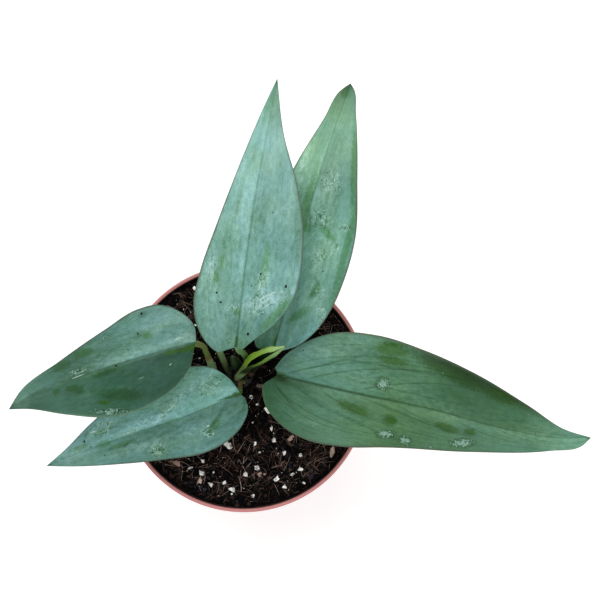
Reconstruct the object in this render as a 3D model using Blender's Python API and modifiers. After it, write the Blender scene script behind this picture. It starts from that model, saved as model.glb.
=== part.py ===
"""A potted scindapsus: five long silvery leaves and a new shoot in a round plastic grower's pot.

The origin is the middle of the pot's base, +Z up. Seen from above, +X is to the right and +Y is up
the page. Sizes below are in millimetres and MM turns them into metres.
"""
import math
import random
from dataclasses import dataclass

import bmesh
import bpy
import numpy as np
from mathutils import Euler, Matrix, Vector, noise

MM = 0.001
GAP = 0.3               # between pieces that touch on the real plant
WELD = 0.01             # points nearer to each other than this become one
SHARP_DEGREES = 60.0    # edges that bend less than this are shaded smooth
CURVE_STEPS = 40        # steps for each point of a smooth curve, before it is spaced evenly

# Pot: a thin tapered wall with a wider collar round its rim
POT_HEIGHT = 100.0
RIM_RADIUS = 60.0
LIP_WIDTH = 1.6
LIP_ROUND = 0.5
WALL = 1.2
COLLAR_HEIGHT = 11.0
COLLAR_STEP = 1.4       # how far the wall's inside steps in below the collar
COLLAR_EDGE = 0.8       # height of the collar's lower edge
STEP_DROP = 1.5         # height over which the inside steps in
BASE_RADIUS = 43.0
BASE_EDGE = 2.0
FLOOR = 1.8
POT_SIDES = 72
DRAIN_HOLES = 8
DRAIN_RADIUS = 4.0
DRAIN_CIRCLE = 31.0
DRAIN_SIDES = 16

# Soil: its surface stays a little below the rim
SOIL_LEVEL = 97.0
SOIL_RELIEF = 1.3
SOIL_LUMPS = ((1.0, 9.0, 3.0), (0.5, 4.0, 8.0))     # share of the relief, width, and slice of the noise
SOIL_RINGS = 12
SOIL_SIDES = 48
SOIL_EDGE_DIP = 0.6
SOIL_EDGE_POWER = 6     # how late the dip starts on the way to the wall

# Blades
BLADE_THICKNESS = 0.8
MIDRIB_FOLD = 0.10      # rise of the blade beside its midrib, per mm
MARGIN_DROOP = 0.0085   # fall of the blade towards its margin, per mm squared
WAVE_HEIGHT = 0.9
WAVE_REACH = 20.0       # distance from the midrib where the wave has its full height
WAVE_LENGTH = 46.0
WAVE_SHIFT = 0.8        # how far the wave of each side is from the middle's, in radians
VEIN_LEAN = 0.45        # how far a side vein runs forward, per mm of width
STATIONS = 18
LAST_STATION = 0.98     # the row just short of the tip, as a share of the length
FAN_SPACING = 3.5       # between rows round the lobes at the base
COLUMNS = (0.0, 0.2, 0.5, 0.8, 1.0)
MARGIN_SAMPLES = 400
MIDRIB_SAMPLES = 60

# Stems
KNEE_SWELL = 1.2        # the swelling just below the blade, as a share of the petiole's radius there
RIB_END_RADIUS = 0.7    # where the petiole ends under the midrib
SEAT = (1.0, 8.0)       # stretch of the midrib that a petiole lies under
TUBE_POINTS = 14
TUBE_BEVEL = 3
HOLE_DEPTH = 18.0
ROD_SIDES = 20
CROWN = (-2.0, 6.0)
CROWN_RADIUS = 6.5
CROWN_FOOT = 0.8        # width of its foot as a share of its top
CROWN_TOP = 101.0

# Colours and roughness
TERRACOTTA = (0.62, 0.23, 0.19), 0.55
PEAT = (0.018, 0.013, 0.010), 0.95
SILVER_GREEN = (0.24, 0.44, 0.36), 0.45
DEEP_GREEN = (0.12, 0.25, 0.15), 0.45
STEM_GREEN = (0.15, 0.23, 0.06), 0.5
SHOOT_GREEN = (0.26, 0.42, 0.07), 0.4


@dataclass
class Leaf:
    """One blade in plan, measured from its junction with the petiole along the line to its tip."""

    root: tuple         # plan position of the junction
    heading: float      # degrees from +X to the line that ends at the tip
    length: float
    heights: tuple      # junction, pull of the arch and tip, above the table
    midrib: tuple       # (along, across) between the junction and the tip
    left: tuple         # (along, across) of the left margin, from the notch at the base
    right: tuple
    finish: tuple = SILVER_GREEN
    phase: float = 0.0  # where the margin's wave starts


LEAVES = {
    "blade_1": Leaf(
        root=(-0.8, 22.0), heading=81.3, length=119.0, heights=(156, 190, 158),
        midrib=((30, 0.7), (60, 1.0), (95, 0.3)),
        left=((-1.5, 3), (-3.5, 8), (-1, 12.5), (6, 18), (16, 21), (30, 20), (50, 15.8), (80, 9.3),
              (104, 3.8)),
        right=((-1, -2.5), (4, -7), (13, -15.5), (24, -21.5), (36, -23), (52, -21.8), (72, -16.2),
               (94, -6.8)),
    ),
    "blade_2": Leaf(
        root=(15.4, 21.5), heading=73.8, length=122.8, heights=(142, 170, 146),
        midrib=((30, 0.6), (62, 1.9), (98, 1.2)),
        left=((-2, 2.5), (-2.5, 7), (5, 11), (16, 15), (34, 17.5), (54, 17.4), (80, 13.1), (104, 6.8),
              (118, 3.5)),
        right=((-1, -3.5), (3, -9.5), (11, -15.5), (22, -19.6), (38, -21.7), (56, -21.2), (82, -14.7),
               (110, -6.1), (120.5, -2.3)),
        phase=1.4,
    ),
    "blade_3": Leaf(
        root=(17.1, 8.6), heading=-11.9, length=151.0, heights=(138, 168, 112),
        midrib=((35, -0.2), (70, -0.2), (104, -2.5), (130, -2.8)),
        left=((-2, 3), (1, 9), (9, 17.2), (22, 24.4), (40, 27), (62, 24.8), (88, 18.9), (115, 9.6),
              (135, 2)),
        right=((-2, -2), (-5.5, -5.5), (-3.5, -13.5), (5, -21.2), (19, -26), (34, -25.2), (52, -21.5),
               (90, -16), (130, -9.2), (147.5, -4)),
        finish=DEEP_GREEN, phase=2.6,
    ),
    "blade_4": Leaf(
        root=(-19.5, 23.7), heading=-160.2, length=95.5, heights=(148, 164, 118),
        midrib=((16, -1.4), (50, -3.1), (78, -3.3)),
        left=((1, 1), (5, 8.5), (13, 14.7), (25, 18.7), (35, 19.9), (48, 18.1), (66, 11.3), (84, 3.1)),
        right=((-1, -1.8), (-2, -6.5), (2, -15.5), (10, -21.5), (19, -22.5), (36, -18.9), (60, -12.9),
               (86, -5.9)),
        phase=0.7,
    ),
    "blade_5": Leaf(
        root=(-0.6, -0.9), heading=-158.8, length=102.0, heights=(126, 140, 98),
        midrib=((30, 0.2), (55, -0.9), (80, -0.9)),
        left=((-1.5, 2.5), (-1.2, 7), (4, 13.6), (13, 18), (24, 19.2), (42, 15.9), (66, 10), (88, 4.2)),
        right=((0, -2.2), (2, -8.5), (8, -16.4), (20, -21), (34, -21.6), (50, -18.8), (70, -12.4),
               (88, -4.8)),
        phase=3.3,
    ),
}
LEAVES_ON_CROWN = (1, 2, 5)
LEAVES_APART = (3, 4)

# Centre lines of the petioles, from the foot to just short of the blade: x, y, height and radius
PETIOLES = {
    1: ((0.6, 7.0, 95, 1.6), (1.4, 9.2, 102, 1.6), (1.8, 12.9, 108, 1.5), (1.6, 15.7, 116, 1.5),
        (0.9, 18.3, 130, 1.4), (-0.4, 20.6, 146, 1.4)),
    2: ((1.5, 5.5, 95, 1.6), (3.8, 8.2, 102.5, 1.6), (7.2, 12.1, 112, 1.5), (12.2, 16.6, 127, 1.4),
        (14.6, 19.6, 137, 1.4)),
    3: ((24, -2, 79.5, 1.6), (24, -2, 93, 1.6), (24, -2, 101, 1.6), (23.2, -0.3, 110, 1.6),
        (20.2, 4.4, 123, 1.6), (17.5, 7.8, 132, 1.45)),
    4: ((-13, -2, 79.5, 2), (-13, -2, 93, 2), (-13, -1.6, 100.5, 2), (-13.7, 3.6, 106, 2),
        (-14.1, 9.9, 113.5, 2), (-15.1, 15, 124, 1.5), (-15.8, 18.9, 134, 1.3), (-17.2, 22.2, 142, 1.3)),
    5: ((0.2, 3.4, 95, 1.2), (-0.3, 3.3, 102.5, 1.2), (-1.3, 3.0, 108, 1.1), (-1.1, 1.1, 115, 1.1),
        (-0.8, -0.5, 120.5, 1.1)),
}
OLD_STALK = ((-5.2, 6.8, 95, 1.7), (-7.1, 8.2, 102.5, 1.6), (-8.6, 12.6, 111, 1.5), (-9.9, 17.6, 122, 1.5),
             (-10.8, 21.5, 132, 1.5))
SIDE_BUD = ((-2.8, 9.6, 95, 2.4), (-3.2, 11, 102.5, 2.7), (-4, 13.2, 108, 2.4), (-4.8, 15.8, 113.5, 0.8))

# Shoot: a boat-shaped sheath with a long slit in the side that faces up
SHOOT_LINE = ((-3, 5, CROWN_TOP + GAP), (-2.4, 5.9, 105), (1.6, 10.5, 113), (4.7, 14.1, 126),
              (9.6, 17, 143), (14.2, 19.5, 153), (17, 20.6, 158.5), (19, 21.6, 161), (20.6, 22.4, 163))
SHOOT_RADII = (1.7, 1.9, 2.5, 3.1, 3.15, 3.0, 2.5, 0.5)
SHOOT_SLITS = (8, 8, 12, 26, 38, 44, 40, 40)    # how wide the slit is, in degrees, along the shoot
SHOOT_WALL = 1.1
SHOOT_OPENING = (-0.87, -0.5, 0.0)              # the way the slit faces in plan
SHOOT_RINGS = 22
SHOOT_ARC_POINTS = 13

# White grains (x, y, radius) and bark chips (x, y, turn in degrees, length) that lie on the soil
GRAINS = (
    (-19.6, -35.3, 1.5), (-25.8, -38.9, 1.5), (-20.9, -41.3, 2.1), (-16.2, -46.6, 1.5), (-9.5, -45.6, 1.6),
    (-5.4, -49, 1.9), (0.8, -41.8, 1.4), (6.2, -38.7, 1.3), (15.5, -44.2, 1.5), (20, -48, 1.7),
    (4.2, -52, 1.3), (23.2, -42.1, 1.3), (27.3, -32.6, 1.4), (27.3, -39.6, 1.3), (5.3, -26.7, 1.3),
    (14.5, -25.1, 1.2), (-7.6, -27.6, 2.2), (19.6, -31.6, 1.2), (29, -46, 1.2), (11.3, -10.7, 1.5),
    (13.5, -19.3, 1.4), (3.5, -4.5, 1.3), (-24, 48, 1.5),
)
CHIPS = ((42.8, -31, 75, 6), (-21.9, -45.6, 60, 5), (-33.3, -36.2, -30, 6), (22.6, -24.5, 40, 5),
         (8.2, -42.1, 10, 5), (7.5, 1.1, 5, 4.5))
GRAIN_RISE = 0.1                # how far a grain's middle stands out of the soil, as a share of its radius
CHIP_RISE = 0.4
CHIP_WIDTH = 0.45               # as a share of its length
CHIP_THICKNESS = 2.2
CHIP_TILT = 0.2                 # most that a chip tilts, in radians
LOOSE_GRAINS = 16               # more grains where the leaves hide the soil
LOOSE_GRAIN_SEED = 7
LOOSE_GRAIN_TURN = (18.0, 189.0)
LOOSE_GRAIN_DISTANCE = (30.0, 52.0)
LOOSE_GRAIN_RADIUS = (1.2, 1.9)


def clear_scene():
    for obj in list(bpy.data.objects):
        bpy.data.objects.remove(obj, do_unlink=True)


def collection(name):
    group = bpy.data.collections.new(name)
    bpy.context.scene.collection.children.link(group)
    return group


def material(name, finish):
    colour, roughness = finish
    look = bpy.data.materials.new(name)
    look.use_nodes = True
    shader = look.node_tree.nodes["Principled BSDF"]
    shader.inputs["Base Color"].default_value = (*colour, 1.0)
    shader.inputs["Roughness"].default_value = roughness
    shader.inputs["Metallic"].default_value = 0.0
    return look


def add_object(name, data, group, finish=None):
    obj = bpy.data.objects.new(name, data)
    group.objects.link(obj)
    if finish:
        data.materials.append(material(name, finish))
    return obj


def mesh_from(name, bm):
    mesh = bpy.data.meshes.new(name)
    bm.to_mesh(mesh)
    bm.free()
    return mesh


def evaluated_mesh(obj):
    bpy.context.view_layer.update()
    graph = bpy.context.evaluated_depsgraph_get()
    return bpy.data.meshes.new_from_object(obj.evaluated_get(graph))


def shade_round(obj):
    obj.data.shade_smooth()
    obj.data.set_sharp_from_angle(angle=math.radians(SHARP_DEGREES))


def curve_to_mesh(obj, group):
    """Put a closed mesh object in place of a tube curve, with the tube's caps welded on."""
    bm = bmesh.new()
    bm.from_mesh(evaluated_mesh(obj))
    bmesh.ops.remove_doubles(bm, verts=bm.verts, dist=WELD * MM)
    solid = add_object(obj.name, mesh_from(obj.name, bm), group)
    solid.matrix_world = obj.matrix_world
    bpy.data.objects.remove(obj, do_unlink=True)


def join_in(obj, group):
    """Join everything in a collection to an object and remove the collection's own objects."""
    union = obj.modifiers.new("Join", "BOOLEAN")
    union.operation = "UNION"
    union.operand_type = "COLLECTION"
    union.collection = group
    union.solver = "EXACT"
    mesh = evaluated_mesh(obj)
    obj.modifiers.clear()
    obj.data = mesh
    for piece in list(group.objects):
        bpy.data.objects.remove(piece, do_unlink=True)
    bpy.data.collections.remove(group)


def cut_round_holes(obj, name, holes, middle, depth, sides, cutters):
    """Cut upright round holes, given as x, y and radius, centred on one height."""
    bm = bmesh.new()
    for x, y, radius in holes:
        bmesh.ops.create_cone(bm, cap_ends=True, segments=sides, radius1=radius * MM, radius2=radius * MM,
                              depth=depth * MM, matrix=Matrix.Translation(Vector((x, y, middle)) * MM))
    cutter = add_object(name, mesh_from(name, bm), cutters)
    cutter.hide_render = True
    cutter.display_type = "WIRE"
    cut = obj.modifiers.new(name, "BOOLEAN")
    cut.operation = "DIFFERENCE"
    cut.object = cutter


def smooth_curve(points, count):
    """Evenly spaced points on a smooth curve through the given ones."""
    points = np.array(points, dtype=float)
    knots = np.concatenate(([0.0], np.cumsum(np.linalg.norm(np.diff(points, axis=0), axis=1))))
    slopes = np.gradient(points, knots, axis=0)
    places = np.linspace(0.0, knots[-1], CURVE_STEPS * len(points))
    span = np.clip(np.searchsorted(knots, places, side="right") - 1, 0, len(points) - 2)
    width = (knots[span + 1] - knots[span])[:, None]
    t = (places - knots[span])[:, None] / width
    fine = ((2 * t**3 - 3 * t**2 + 1) * points[span] + (t**3 - 2 * t**2 + t) * width * slopes[span]
            + (3 * t**2 - 2 * t**3) * points[span + 1] + (t**3 - t**2) * width * slopes[span + 1])
    run = np.concatenate(([0.0], np.cumsum(np.linalg.norm(np.diff(fine, axis=0), axis=1))))
    even = np.linspace(0.0, run[-1], count)
    return np.stack([np.interp(even, run, fine[:, axis]) for axis in range(points.shape[1])], axis=1)


def arch(leaf, along):
    """Height of the midrib above the table."""
    share = along / leaf.length
    junction, pull, tip = leaf.heights
    return (1 - share) ** 2 * junction + 2 * share * (1 - share) * pull + share**2 * tip


def midrib_across(leaf, along):
    line = smooth_curve([(0, 0), *leaf.midrib, (leaf.length, 0)], MIDRIB_SAMPLES)
    return np.interp(along, line[:, 0], line[:, 1])


def blade_height(leaf, along, across):
    """Height of the blade's upper face: folded up beside the midrib, drooping and waved at the margin."""
    aside = abs(across - midrib_across(leaf, along))
    turn = 2 * math.pi * along / WAVE_LENGTH + leaf.phase + math.copysign(WAVE_SHIFT, across)
    wave = WAVE_HEIGHT * (aside / WAVE_REACH) ** 2 * math.sin(turn)
    return arch(leaf, along) + MIDRIB_FOLD * aside - MARGIN_DROOP * aside**2 + wave


def leaf_to_world(leaf, along, across, height):
    turn = math.radians(leaf.heading)
    x = leaf.root[0] + along * math.cos(turn) - across * math.sin(turn)
    y = leaf.root[1] + along * math.sin(turn) + across * math.cos(turn)
    return Vector((x, y, height)) * MM


def blade_rows(leaf, margin_points):
    """Straight rows of a half blade as pairs of plan points, from the midrib to the margin.

    The first rows fan out from the junction over the lobe at the base; the others start at even
    stations along the midrib and lean forward as the side veins do.
    """
    margin = smooth_curve([*margin_points, (leaf.length, 0)], MARGIN_SAMPLES)
    aside = np.abs(margin[:, 1] - midrib_across(leaf, margin[:, 0]))
    start = margin[:, 0] - VEIN_LEAN * aside
    lobe_end = int(np.argmax(start > 0))
    fan = max(2, round(lobe_end / MARGIN_SAMPLES * leaf.length / FAN_SPACING))
    rows = [((0.0, 0.0), tuple(margin[i])) for i in np.linspace(0, lobe_end, fan + 1).astype(int)]
    rising = np.maximum.accumulate(start[lobe_end:])
    for station in leaf.length * np.append(np.arange(1, STATIONS) / STATIONS, LAST_STATION):
        outer = [float(np.interp(station, rising, margin[lobe_end:, axis])) for axis in (0, 1)]
        rows.append(((station, float(midrib_across(leaf, station))), tuple(outer)))
    return rows


def add_strip(bm, near_row, far_row, leftward):
    """Triangles between two rows, which may share their first point."""
    for n0, n1, f0, f1 in zip(near_row, near_row[1:], far_row, far_row[1:]):
        for corners in ((n0, f0, f1), (n0, f1, n1)):
            if len(set(corners)) == 3:
                bm.faces.new(corners if leftward else corners[::-1])


def blade_sheet(leaf):
    """The upper face of a blade as one open sheet of triangles."""
    bm = bmesh.new()
    shared = {}

    def vertex(along, across):
        return bm.verts.new(leaf_to_world(leaf, along, across, blade_height(leaf, along, across)))

    tip = vertex(leaf.length, 0.0)
    for margin_points, leftward in ((leaf.left, True), (leaf.right, False)):
        previous = None
        for inner, outer in blade_rows(leaf, margin_points):
            if inner not in shared:
                shared[inner] = vertex(*inner)
            row = [shared[inner]]
            for share in COLUMNS[1:]:
                along, across = (a + (b - a) * share for a, b in zip(inner, outer))
                row.append(vertex(along, across))
            if previous:
                add_strip(bm, previous, row, leftward)
            previous = row
        for near, far in zip(previous, previous[1:]):
            bm.faces.new((near, tip, far) if leftward else (near, far, tip))
    return bm


def make_blade(name, leaf, group):
    obj = add_object(name, mesh_from(name, blade_sheet(leaf)), group, leaf.finish)
    shade_round(obj)
    shell = obj.modifiers.new("Thickness", "SOLIDIFY")
    shell.thickness = BLADE_THICKNESS * MM
    shell.offset = -1.0


def seat_point(leaf, along, radius):
    """Centre of a petiole of this radius where it lies under the midrib."""
    across = float(midrib_across(leaf, along))
    slope = arch(leaf, along + 0.5) - arch(leaf, along - 0.5)
    drop = (BLADE_THICKNESS + 2 * GAP + radius) / math.hypot(1.0, slope)
    point = leaf_to_world(leaf, along + drop * slope, across, arch(leaf, along) - drop)
    return tuple(point / MM)


def make_tube(name, line, group, finish=None):
    """A tube curve through points that each give x, y, height and the tube's radius there."""
    points = smooth_curve(line, TUBE_POINTS)
    curve = bpy.data.curves.new(name, "CURVE")
    curve.dimensions = "3D"
    curve.bevel_depth = MM
    curve.bevel_resolution = TUBE_BEVEL
    curve.use_fill_caps = True
    spline = curve.splines.new("POLY")
    spline.points.add(len(points) - 1)
    for dot, (x, y, z, radius) in zip(spline.points, points):
        dot.co = (x * MM, y * MM, z * MM, 1.0)
        dot.radius = radius
    return add_object(name, curve, group, finish)


def make_petiole(name, number, group, finish=None):
    """A petiole with a small swelling below its blade, where it bends to lie under the midrib."""
    leaf = LEAVES[f"blade_{number}"]
    end_radii = (KNEE_SWELL * PETIOLES[number][-1][3], RIB_END_RADIUS)
    seats = [(*seat_point(leaf, along, radius), radius) for along, radius in zip(SEAT, end_radii)]
    return make_tube(name, (*PETIOLES[number], *seats), group, finish)


def make_crown(group):
    """The short main stem with what grows from it: three petioles, an old stalk and a side bud."""
    bm = bmesh.new()
    height = CROWN_TOP - SOIL_LEVEL + HOLE_DEPTH
    place = Matrix.Translation(Vector((*CROWN, CROWN_TOP - height / 2)) * MM)
    bmesh.ops.create_cone(bm, cap_ends=True, segments=ROD_SIDES, radius1=CROWN_FOOT * CROWN_RADIUS * MM,
                          radius2=CROWN_RADIUS * MM, depth=height * MM, matrix=place)
    obj = add_object("main_stem", mesh_from("main_stem", bm), group, STEM_GREEN)
    grown = collection("grown from the crown")
    tubes = [make_petiole(f"petiole of leaf {number}", number, grown) for number in LEAVES_ON_CROWN]
    tubes.append(make_tube("old stalk", OLD_STALK, grown))
    tubes.append(make_tube("side bud", SIDE_BUD, grown))
    for tube in tubes:
        curve_to_mesh(tube, grown)
    join_in(obj, grown)
    shade_round(obj)


def shoot_ring(bm, centre, ahead, radius, slit):
    """Points round the sheath at one place on its line, open at the slit of so many degrees."""
    side = ahead.cross(Vector(SHOOT_OPENING)).normalized()
    top = side.cross(ahead)
    ring = []
    for step in range(SHOOT_ARC_POINTS):
        angle = math.radians(slit / 2 + (360 - slit) * step / (SHOOT_ARC_POINTS - 1))
        spoke = side * math.sin(angle) + top * math.cos(angle)
        ring.append(bm.verts.new((Vector(centre) + radius * spoke) * MM))
    return ring


def make_shoot(group):
    """A new leaf's sheath: a tapering tube with a long slit, thickened to a wall."""
    line = smooth_curve(SHOOT_LINE, SHOOT_RINGS)
    places = np.linspace(0.0, SHOOT_RINGS - 1, len(SHOOT_RADII))
    bm = bmesh.new()
    previous = None
    for index, centre in enumerate(line):
        ahead = Vector(line[min(index + 1, SHOOT_RINGS - 1)] - line[max(index - 1, 0)]).normalized()
        if index == 0:
            ahead = Vector((0, 0, 1))
        radius, slit = (float(np.interp(index, places, values)) for values in (SHOOT_RADII, SHOOT_SLITS))
        ring = shoot_ring(bm, centre, ahead, radius, slit)
        if previous:
            for a, b, c, d in zip(previous, previous[1:], ring[1:], ring):
                bm.faces.new((a, b, c))
                bm.faces.new((a, c, d))
        previous = ring
    bmesh.ops.recalc_face_normals(bm, faces=bm.faces)
    obj = add_object("new_shoot", mesh_from("new_shoot", bm), group, SHOOT_GREEN)
    shade_round(obj)
    shell = obj.modifiers.new("Wall", "SOLIDIFY")
    shell.thickness = SHOOT_WALL * MM
    shell.offset = -1.0


def wall_radius(height):
    """Inner radius of the pot at a height above its base."""
    slope = (RIM_RADIUS - BASE_RADIUS) / POT_HEIGHT
    plain = RIM_RADIUS - LIP_WIDTH - slope * (POT_HEIGHT - height)
    return plain if height >= POT_HEIGHT - COLLAR_HEIGHT else plain - COLLAR_STEP + LIP_WIDTH - WALL


def make_pot(group):
    """The pot's wall, collar and floor, turned from one profile of radius and height."""
    step = POT_HEIGHT - COLLAR_HEIGHT
    foot = wall_radius(BASE_EDGE) + WALL
    inside = [(0, FLOOR), (wall_radius(FLOOR) - BASE_EDGE, FLOOR),
              (wall_radius(FLOOR + BASE_EDGE), FLOOR + BASE_EDGE),
              (wall_radius(step - STEP_DROP), step - STEP_DROP), (wall_radius(step), step),
              (wall_radius(POT_HEIGHT - LIP_ROUND), POT_HEIGHT - LIP_ROUND)]
    rim = [(RIM_RADIUS - LIP_WIDTH + LIP_ROUND, POT_HEIGHT), (RIM_RADIUS - LIP_ROUND, POT_HEIGHT),
           (RIM_RADIUS, POT_HEIGHT - LIP_ROUND)]
    outside = [(wall_radius(step) + LIP_WIDTH, step),
               (wall_radius(step - COLLAR_EDGE) + WALL, step - COLLAR_EDGE),
               (foot, BASE_EDGE), (foot - BASE_EDGE, 0), (0, 0)]
    profile = inside + rim + outside
    mesh = bpy.data.meshes.new("pot")
    mesh.from_pydata([(r * MM, 0, z * MM) for r, z in profile],
                     [(i, i + 1) for i in range(len(profile) - 1)], [])
    obj = add_object("pot", mesh, group, TERRACOTTA)
    turn = obj.modifiers.new("Turn", "SCREW")
    turn.steps = POT_SIDES
    turn.render_steps = POT_SIDES
    turn.use_merge_vertices = True
    turn.merge_threshold = WELD * MM
    turn.use_smooth_shade = True
    return obj


def drain_holes():
    """Plan place and radius of each drain hole, evenly spaced near the edge of the floor."""
    turns = [2 * math.pi * (index + 0.5) / DRAIN_HOLES for index in range(DRAIN_HOLES)]
    return [(DRAIN_CIRCLE * math.cos(turn), DRAIN_CIRCLE * math.sin(turn), DRAIN_RADIUS) for turn in turns]


def soil_height(x, y):
    """Height of the soil's crumbly surface, a little lower at the wall."""
    lumps = sum(share * noise.noise(Vector((x, y, slice_)) / width) for share, width, slice_ in SOIL_LUMPS)
    edge = (math.hypot(x, y) / wall_radius(SOIL_LEVEL)) ** SOIL_EDGE_POWER
    return SOIL_LEVEL + SOIL_RELIEF * lumps - SOIL_EDGE_DIP * edge


def ring_of(bm, radius, height=None):
    """A ring of points on the soil's surface, or at a height where one is given."""
    ring = []
    for index in range(SOIL_SIDES):
        angle = 2 * math.pi * index / SOIL_SIDES
        x, y = radius * math.cos(angle), radius * math.sin(angle)
        ring.append(bm.verts.new(Vector((x, y, soil_height(x, y) if height is None else height)) * MM))
    return ring


def make_soil(group):
    """Soil that fills the pot: a crumbly top, and sides that follow the wall down to the floor."""
    bm = bmesh.new()
    step = POT_HEIGHT - COLLAR_HEIGHT
    top_radius = wall_radius(SOIL_LEVEL - SOIL_RELIEF - SOIL_EDGE_DIP) - 2 * GAP
    middle = bm.verts.new(Vector((0, 0, soil_height(0, 0))) * MM)
    rings = [ring_of(bm, top_radius * (index + 1) / SOIL_RINGS) for index in range(SOIL_RINGS)]
    for z in (step + 2 * GAP, step - STEP_DROP, FLOOR + BASE_EDGE):
        rings.append(ring_of(bm, wall_radius(z) - 2 * GAP, z))
    rings.append(ring_of(bm, wall_radius(FLOOR) - BASE_EDGE - GAP, FLOOR + GAP))
    for index in range(SOIL_SIDES):
        following = (index + 1) % SOIL_SIDES
        bm.faces.new((middle, rings[0][index], rings[0][following]))
        for inner, outer in zip(rings, rings[1:]):
            bm.faces.new((inner[index], outer[index], outer[following], inner[following]))
    bm.faces.new(reversed(rings[-1]))
    bmesh.ops.triangulate(bm, faces=bm.faces)
    return add_object("soil", mesh_from("soil", bm), group, PEAT)


def loose_grains(draw):
    """Grains strewn over the soil where the leaves hide it."""
    grains = []
    for _ in range(LOOSE_GRAINS):
        angle = math.radians(draw.uniform(*LOOSE_GRAIN_TURN))
        distance = draw.uniform(*LOOSE_GRAIN_DISTANCE)
        grains.append((distance * math.cos(angle), distance * math.sin(angle),
                       draw.uniform(*LOOSE_GRAIN_RADIUS)))
    return grains


def add_grains(soil):
    """White grains and bark chips, half sunk in the soil and joined to it."""
    loose = collection("grains and chips")
    draw = random.Random(LOOSE_GRAIN_SEED)
    for x, y, radius in (*GRAINS, *loose_grains(draw)):
        bm = bmesh.new()
        place = Matrix.Translation(Vector((x, y, soil_height(x, y) + GRAIN_RISE * radius)) * MM)
        turn = Euler([draw.uniform(0, math.pi) for _ in range(3)]).to_matrix().to_4x4()
        bmesh.ops.create_icosphere(bm, subdivisions=1, radius=radius * MM, matrix=place @ turn)
        add_object("grain", mesh_from("grain", bm), loose)
    for x, y, degrees, length in CHIPS:
        bm = bmesh.new()
        place = Matrix.Translation(Vector((x, y, soil_height(x, y) + CHIP_RISE)) * MM)
        tilt = [draw.uniform(-CHIP_TILT, CHIP_TILT) for _ in range(2)]
        turn = Euler((*tilt, math.radians(degrees))).to_matrix().to_4x4()
        size = Matrix.Diagonal((length * MM, CHIP_WIDTH * length * MM, CHIP_THICKNESS * MM, 1.0))
        bmesh.ops.create_cube(bm, size=1.0, matrix=place @ turn @ size)
        add_object("chip", mesh_from("chip", bm), loose)
    join_in(soil, loose)


def stem_holes():
    """Plan place and radius of the holes that the stems stand in."""
    feet = [(*CROWN, CROWN_RADIUS)]
    feet += [(x, y, radius) for x, y, _, radius in (PETIOLES[number][0] for number in LEAVES_APART)]
    return [(x, y, radius + 2 * GAP) for x, y, radius in feet]


def main():
    clear_scene()
    parts = collection("potted_scindapsus")
    cutters = collection("cutters")
    pot = make_pot(parts)
    cut_round_holes(pot, "drain holes", drain_holes(), FLOOR / 2, 3 * FLOOR, DRAIN_SIDES, cutters)
    soil = make_soil(parts)
    add_grains(soil)
    cut_round_holes(soil, "stem holes", stem_holes(), SOIL_LEVEL, 2 * (HOLE_DEPTH + GAP), ROD_SIDES, cutters)
    make_crown(parts)
    make_shoot(parts)
    for number in LEAVES_APART:
        make_petiole(f"petiole_{number}", number, parts, STEM_GREEN)
    for name, leaf in LEAVES.items():
        make_blade(name, leaf, parts)


main()
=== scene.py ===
"""The looks of a potted scindapsus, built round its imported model: silvery leaves, stems, soil and pot.

Sizes and places are in millimetres and MM turns them into metres. Seen from above, +X is to the right
and +Y is up the page. A leaf's own places are (along, across): from its junction with the petiole
towards its tip, and to the left of that line.
"""
import math
import random
from dataclasses import dataclass

import bmesh
import bpy
import numpy as np
from mathutils import Euler, Matrix, Vector, noise


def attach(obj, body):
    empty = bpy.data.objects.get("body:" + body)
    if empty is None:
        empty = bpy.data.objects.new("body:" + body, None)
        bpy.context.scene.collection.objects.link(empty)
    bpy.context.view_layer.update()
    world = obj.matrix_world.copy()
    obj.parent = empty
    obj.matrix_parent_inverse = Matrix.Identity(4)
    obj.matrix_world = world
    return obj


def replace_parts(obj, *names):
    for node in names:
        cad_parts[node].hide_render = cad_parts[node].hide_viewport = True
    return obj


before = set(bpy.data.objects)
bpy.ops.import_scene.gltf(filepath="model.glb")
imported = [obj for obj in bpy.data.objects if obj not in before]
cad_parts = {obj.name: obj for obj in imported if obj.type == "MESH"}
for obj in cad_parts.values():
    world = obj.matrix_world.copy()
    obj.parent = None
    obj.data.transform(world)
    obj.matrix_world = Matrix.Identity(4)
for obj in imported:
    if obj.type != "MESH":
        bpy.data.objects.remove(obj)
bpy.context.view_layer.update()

MM = 0.001
BODY = "root"

# Camera, straight above the plant
CAMERA_PLACE = (27.1, 42.6, 720.0)
FOCAL_PIXELS = 1284.7
FRAME_PIXELS = 600
SENSOR = 36.0

# Stage, in metres: a white sky, a floor, and lamps (name, place, size, power)
SKY_FADE = (0.05, 0.5)      # heights on a unit sphere between which the sky fades
SKY_LEVELS = (1.08, 0.73)   # its light below and above them
FLOOR_SIZE = 40.0
FLOOR_COLOUR = (0.75, 0.75, 0.75, 1.0)
FLOOR_GLOW = 0.42           # keeps the floor white in the soft shade round the pot
LAMPS = (("key", (-0.25, 0.9, 1.5), 1.2, 14.0), ("fill", (0.9, -0.9, 1.4), 1.4, 4.0))
LAMP_AIM = (0.02, 0.04, 0.1)

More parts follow.
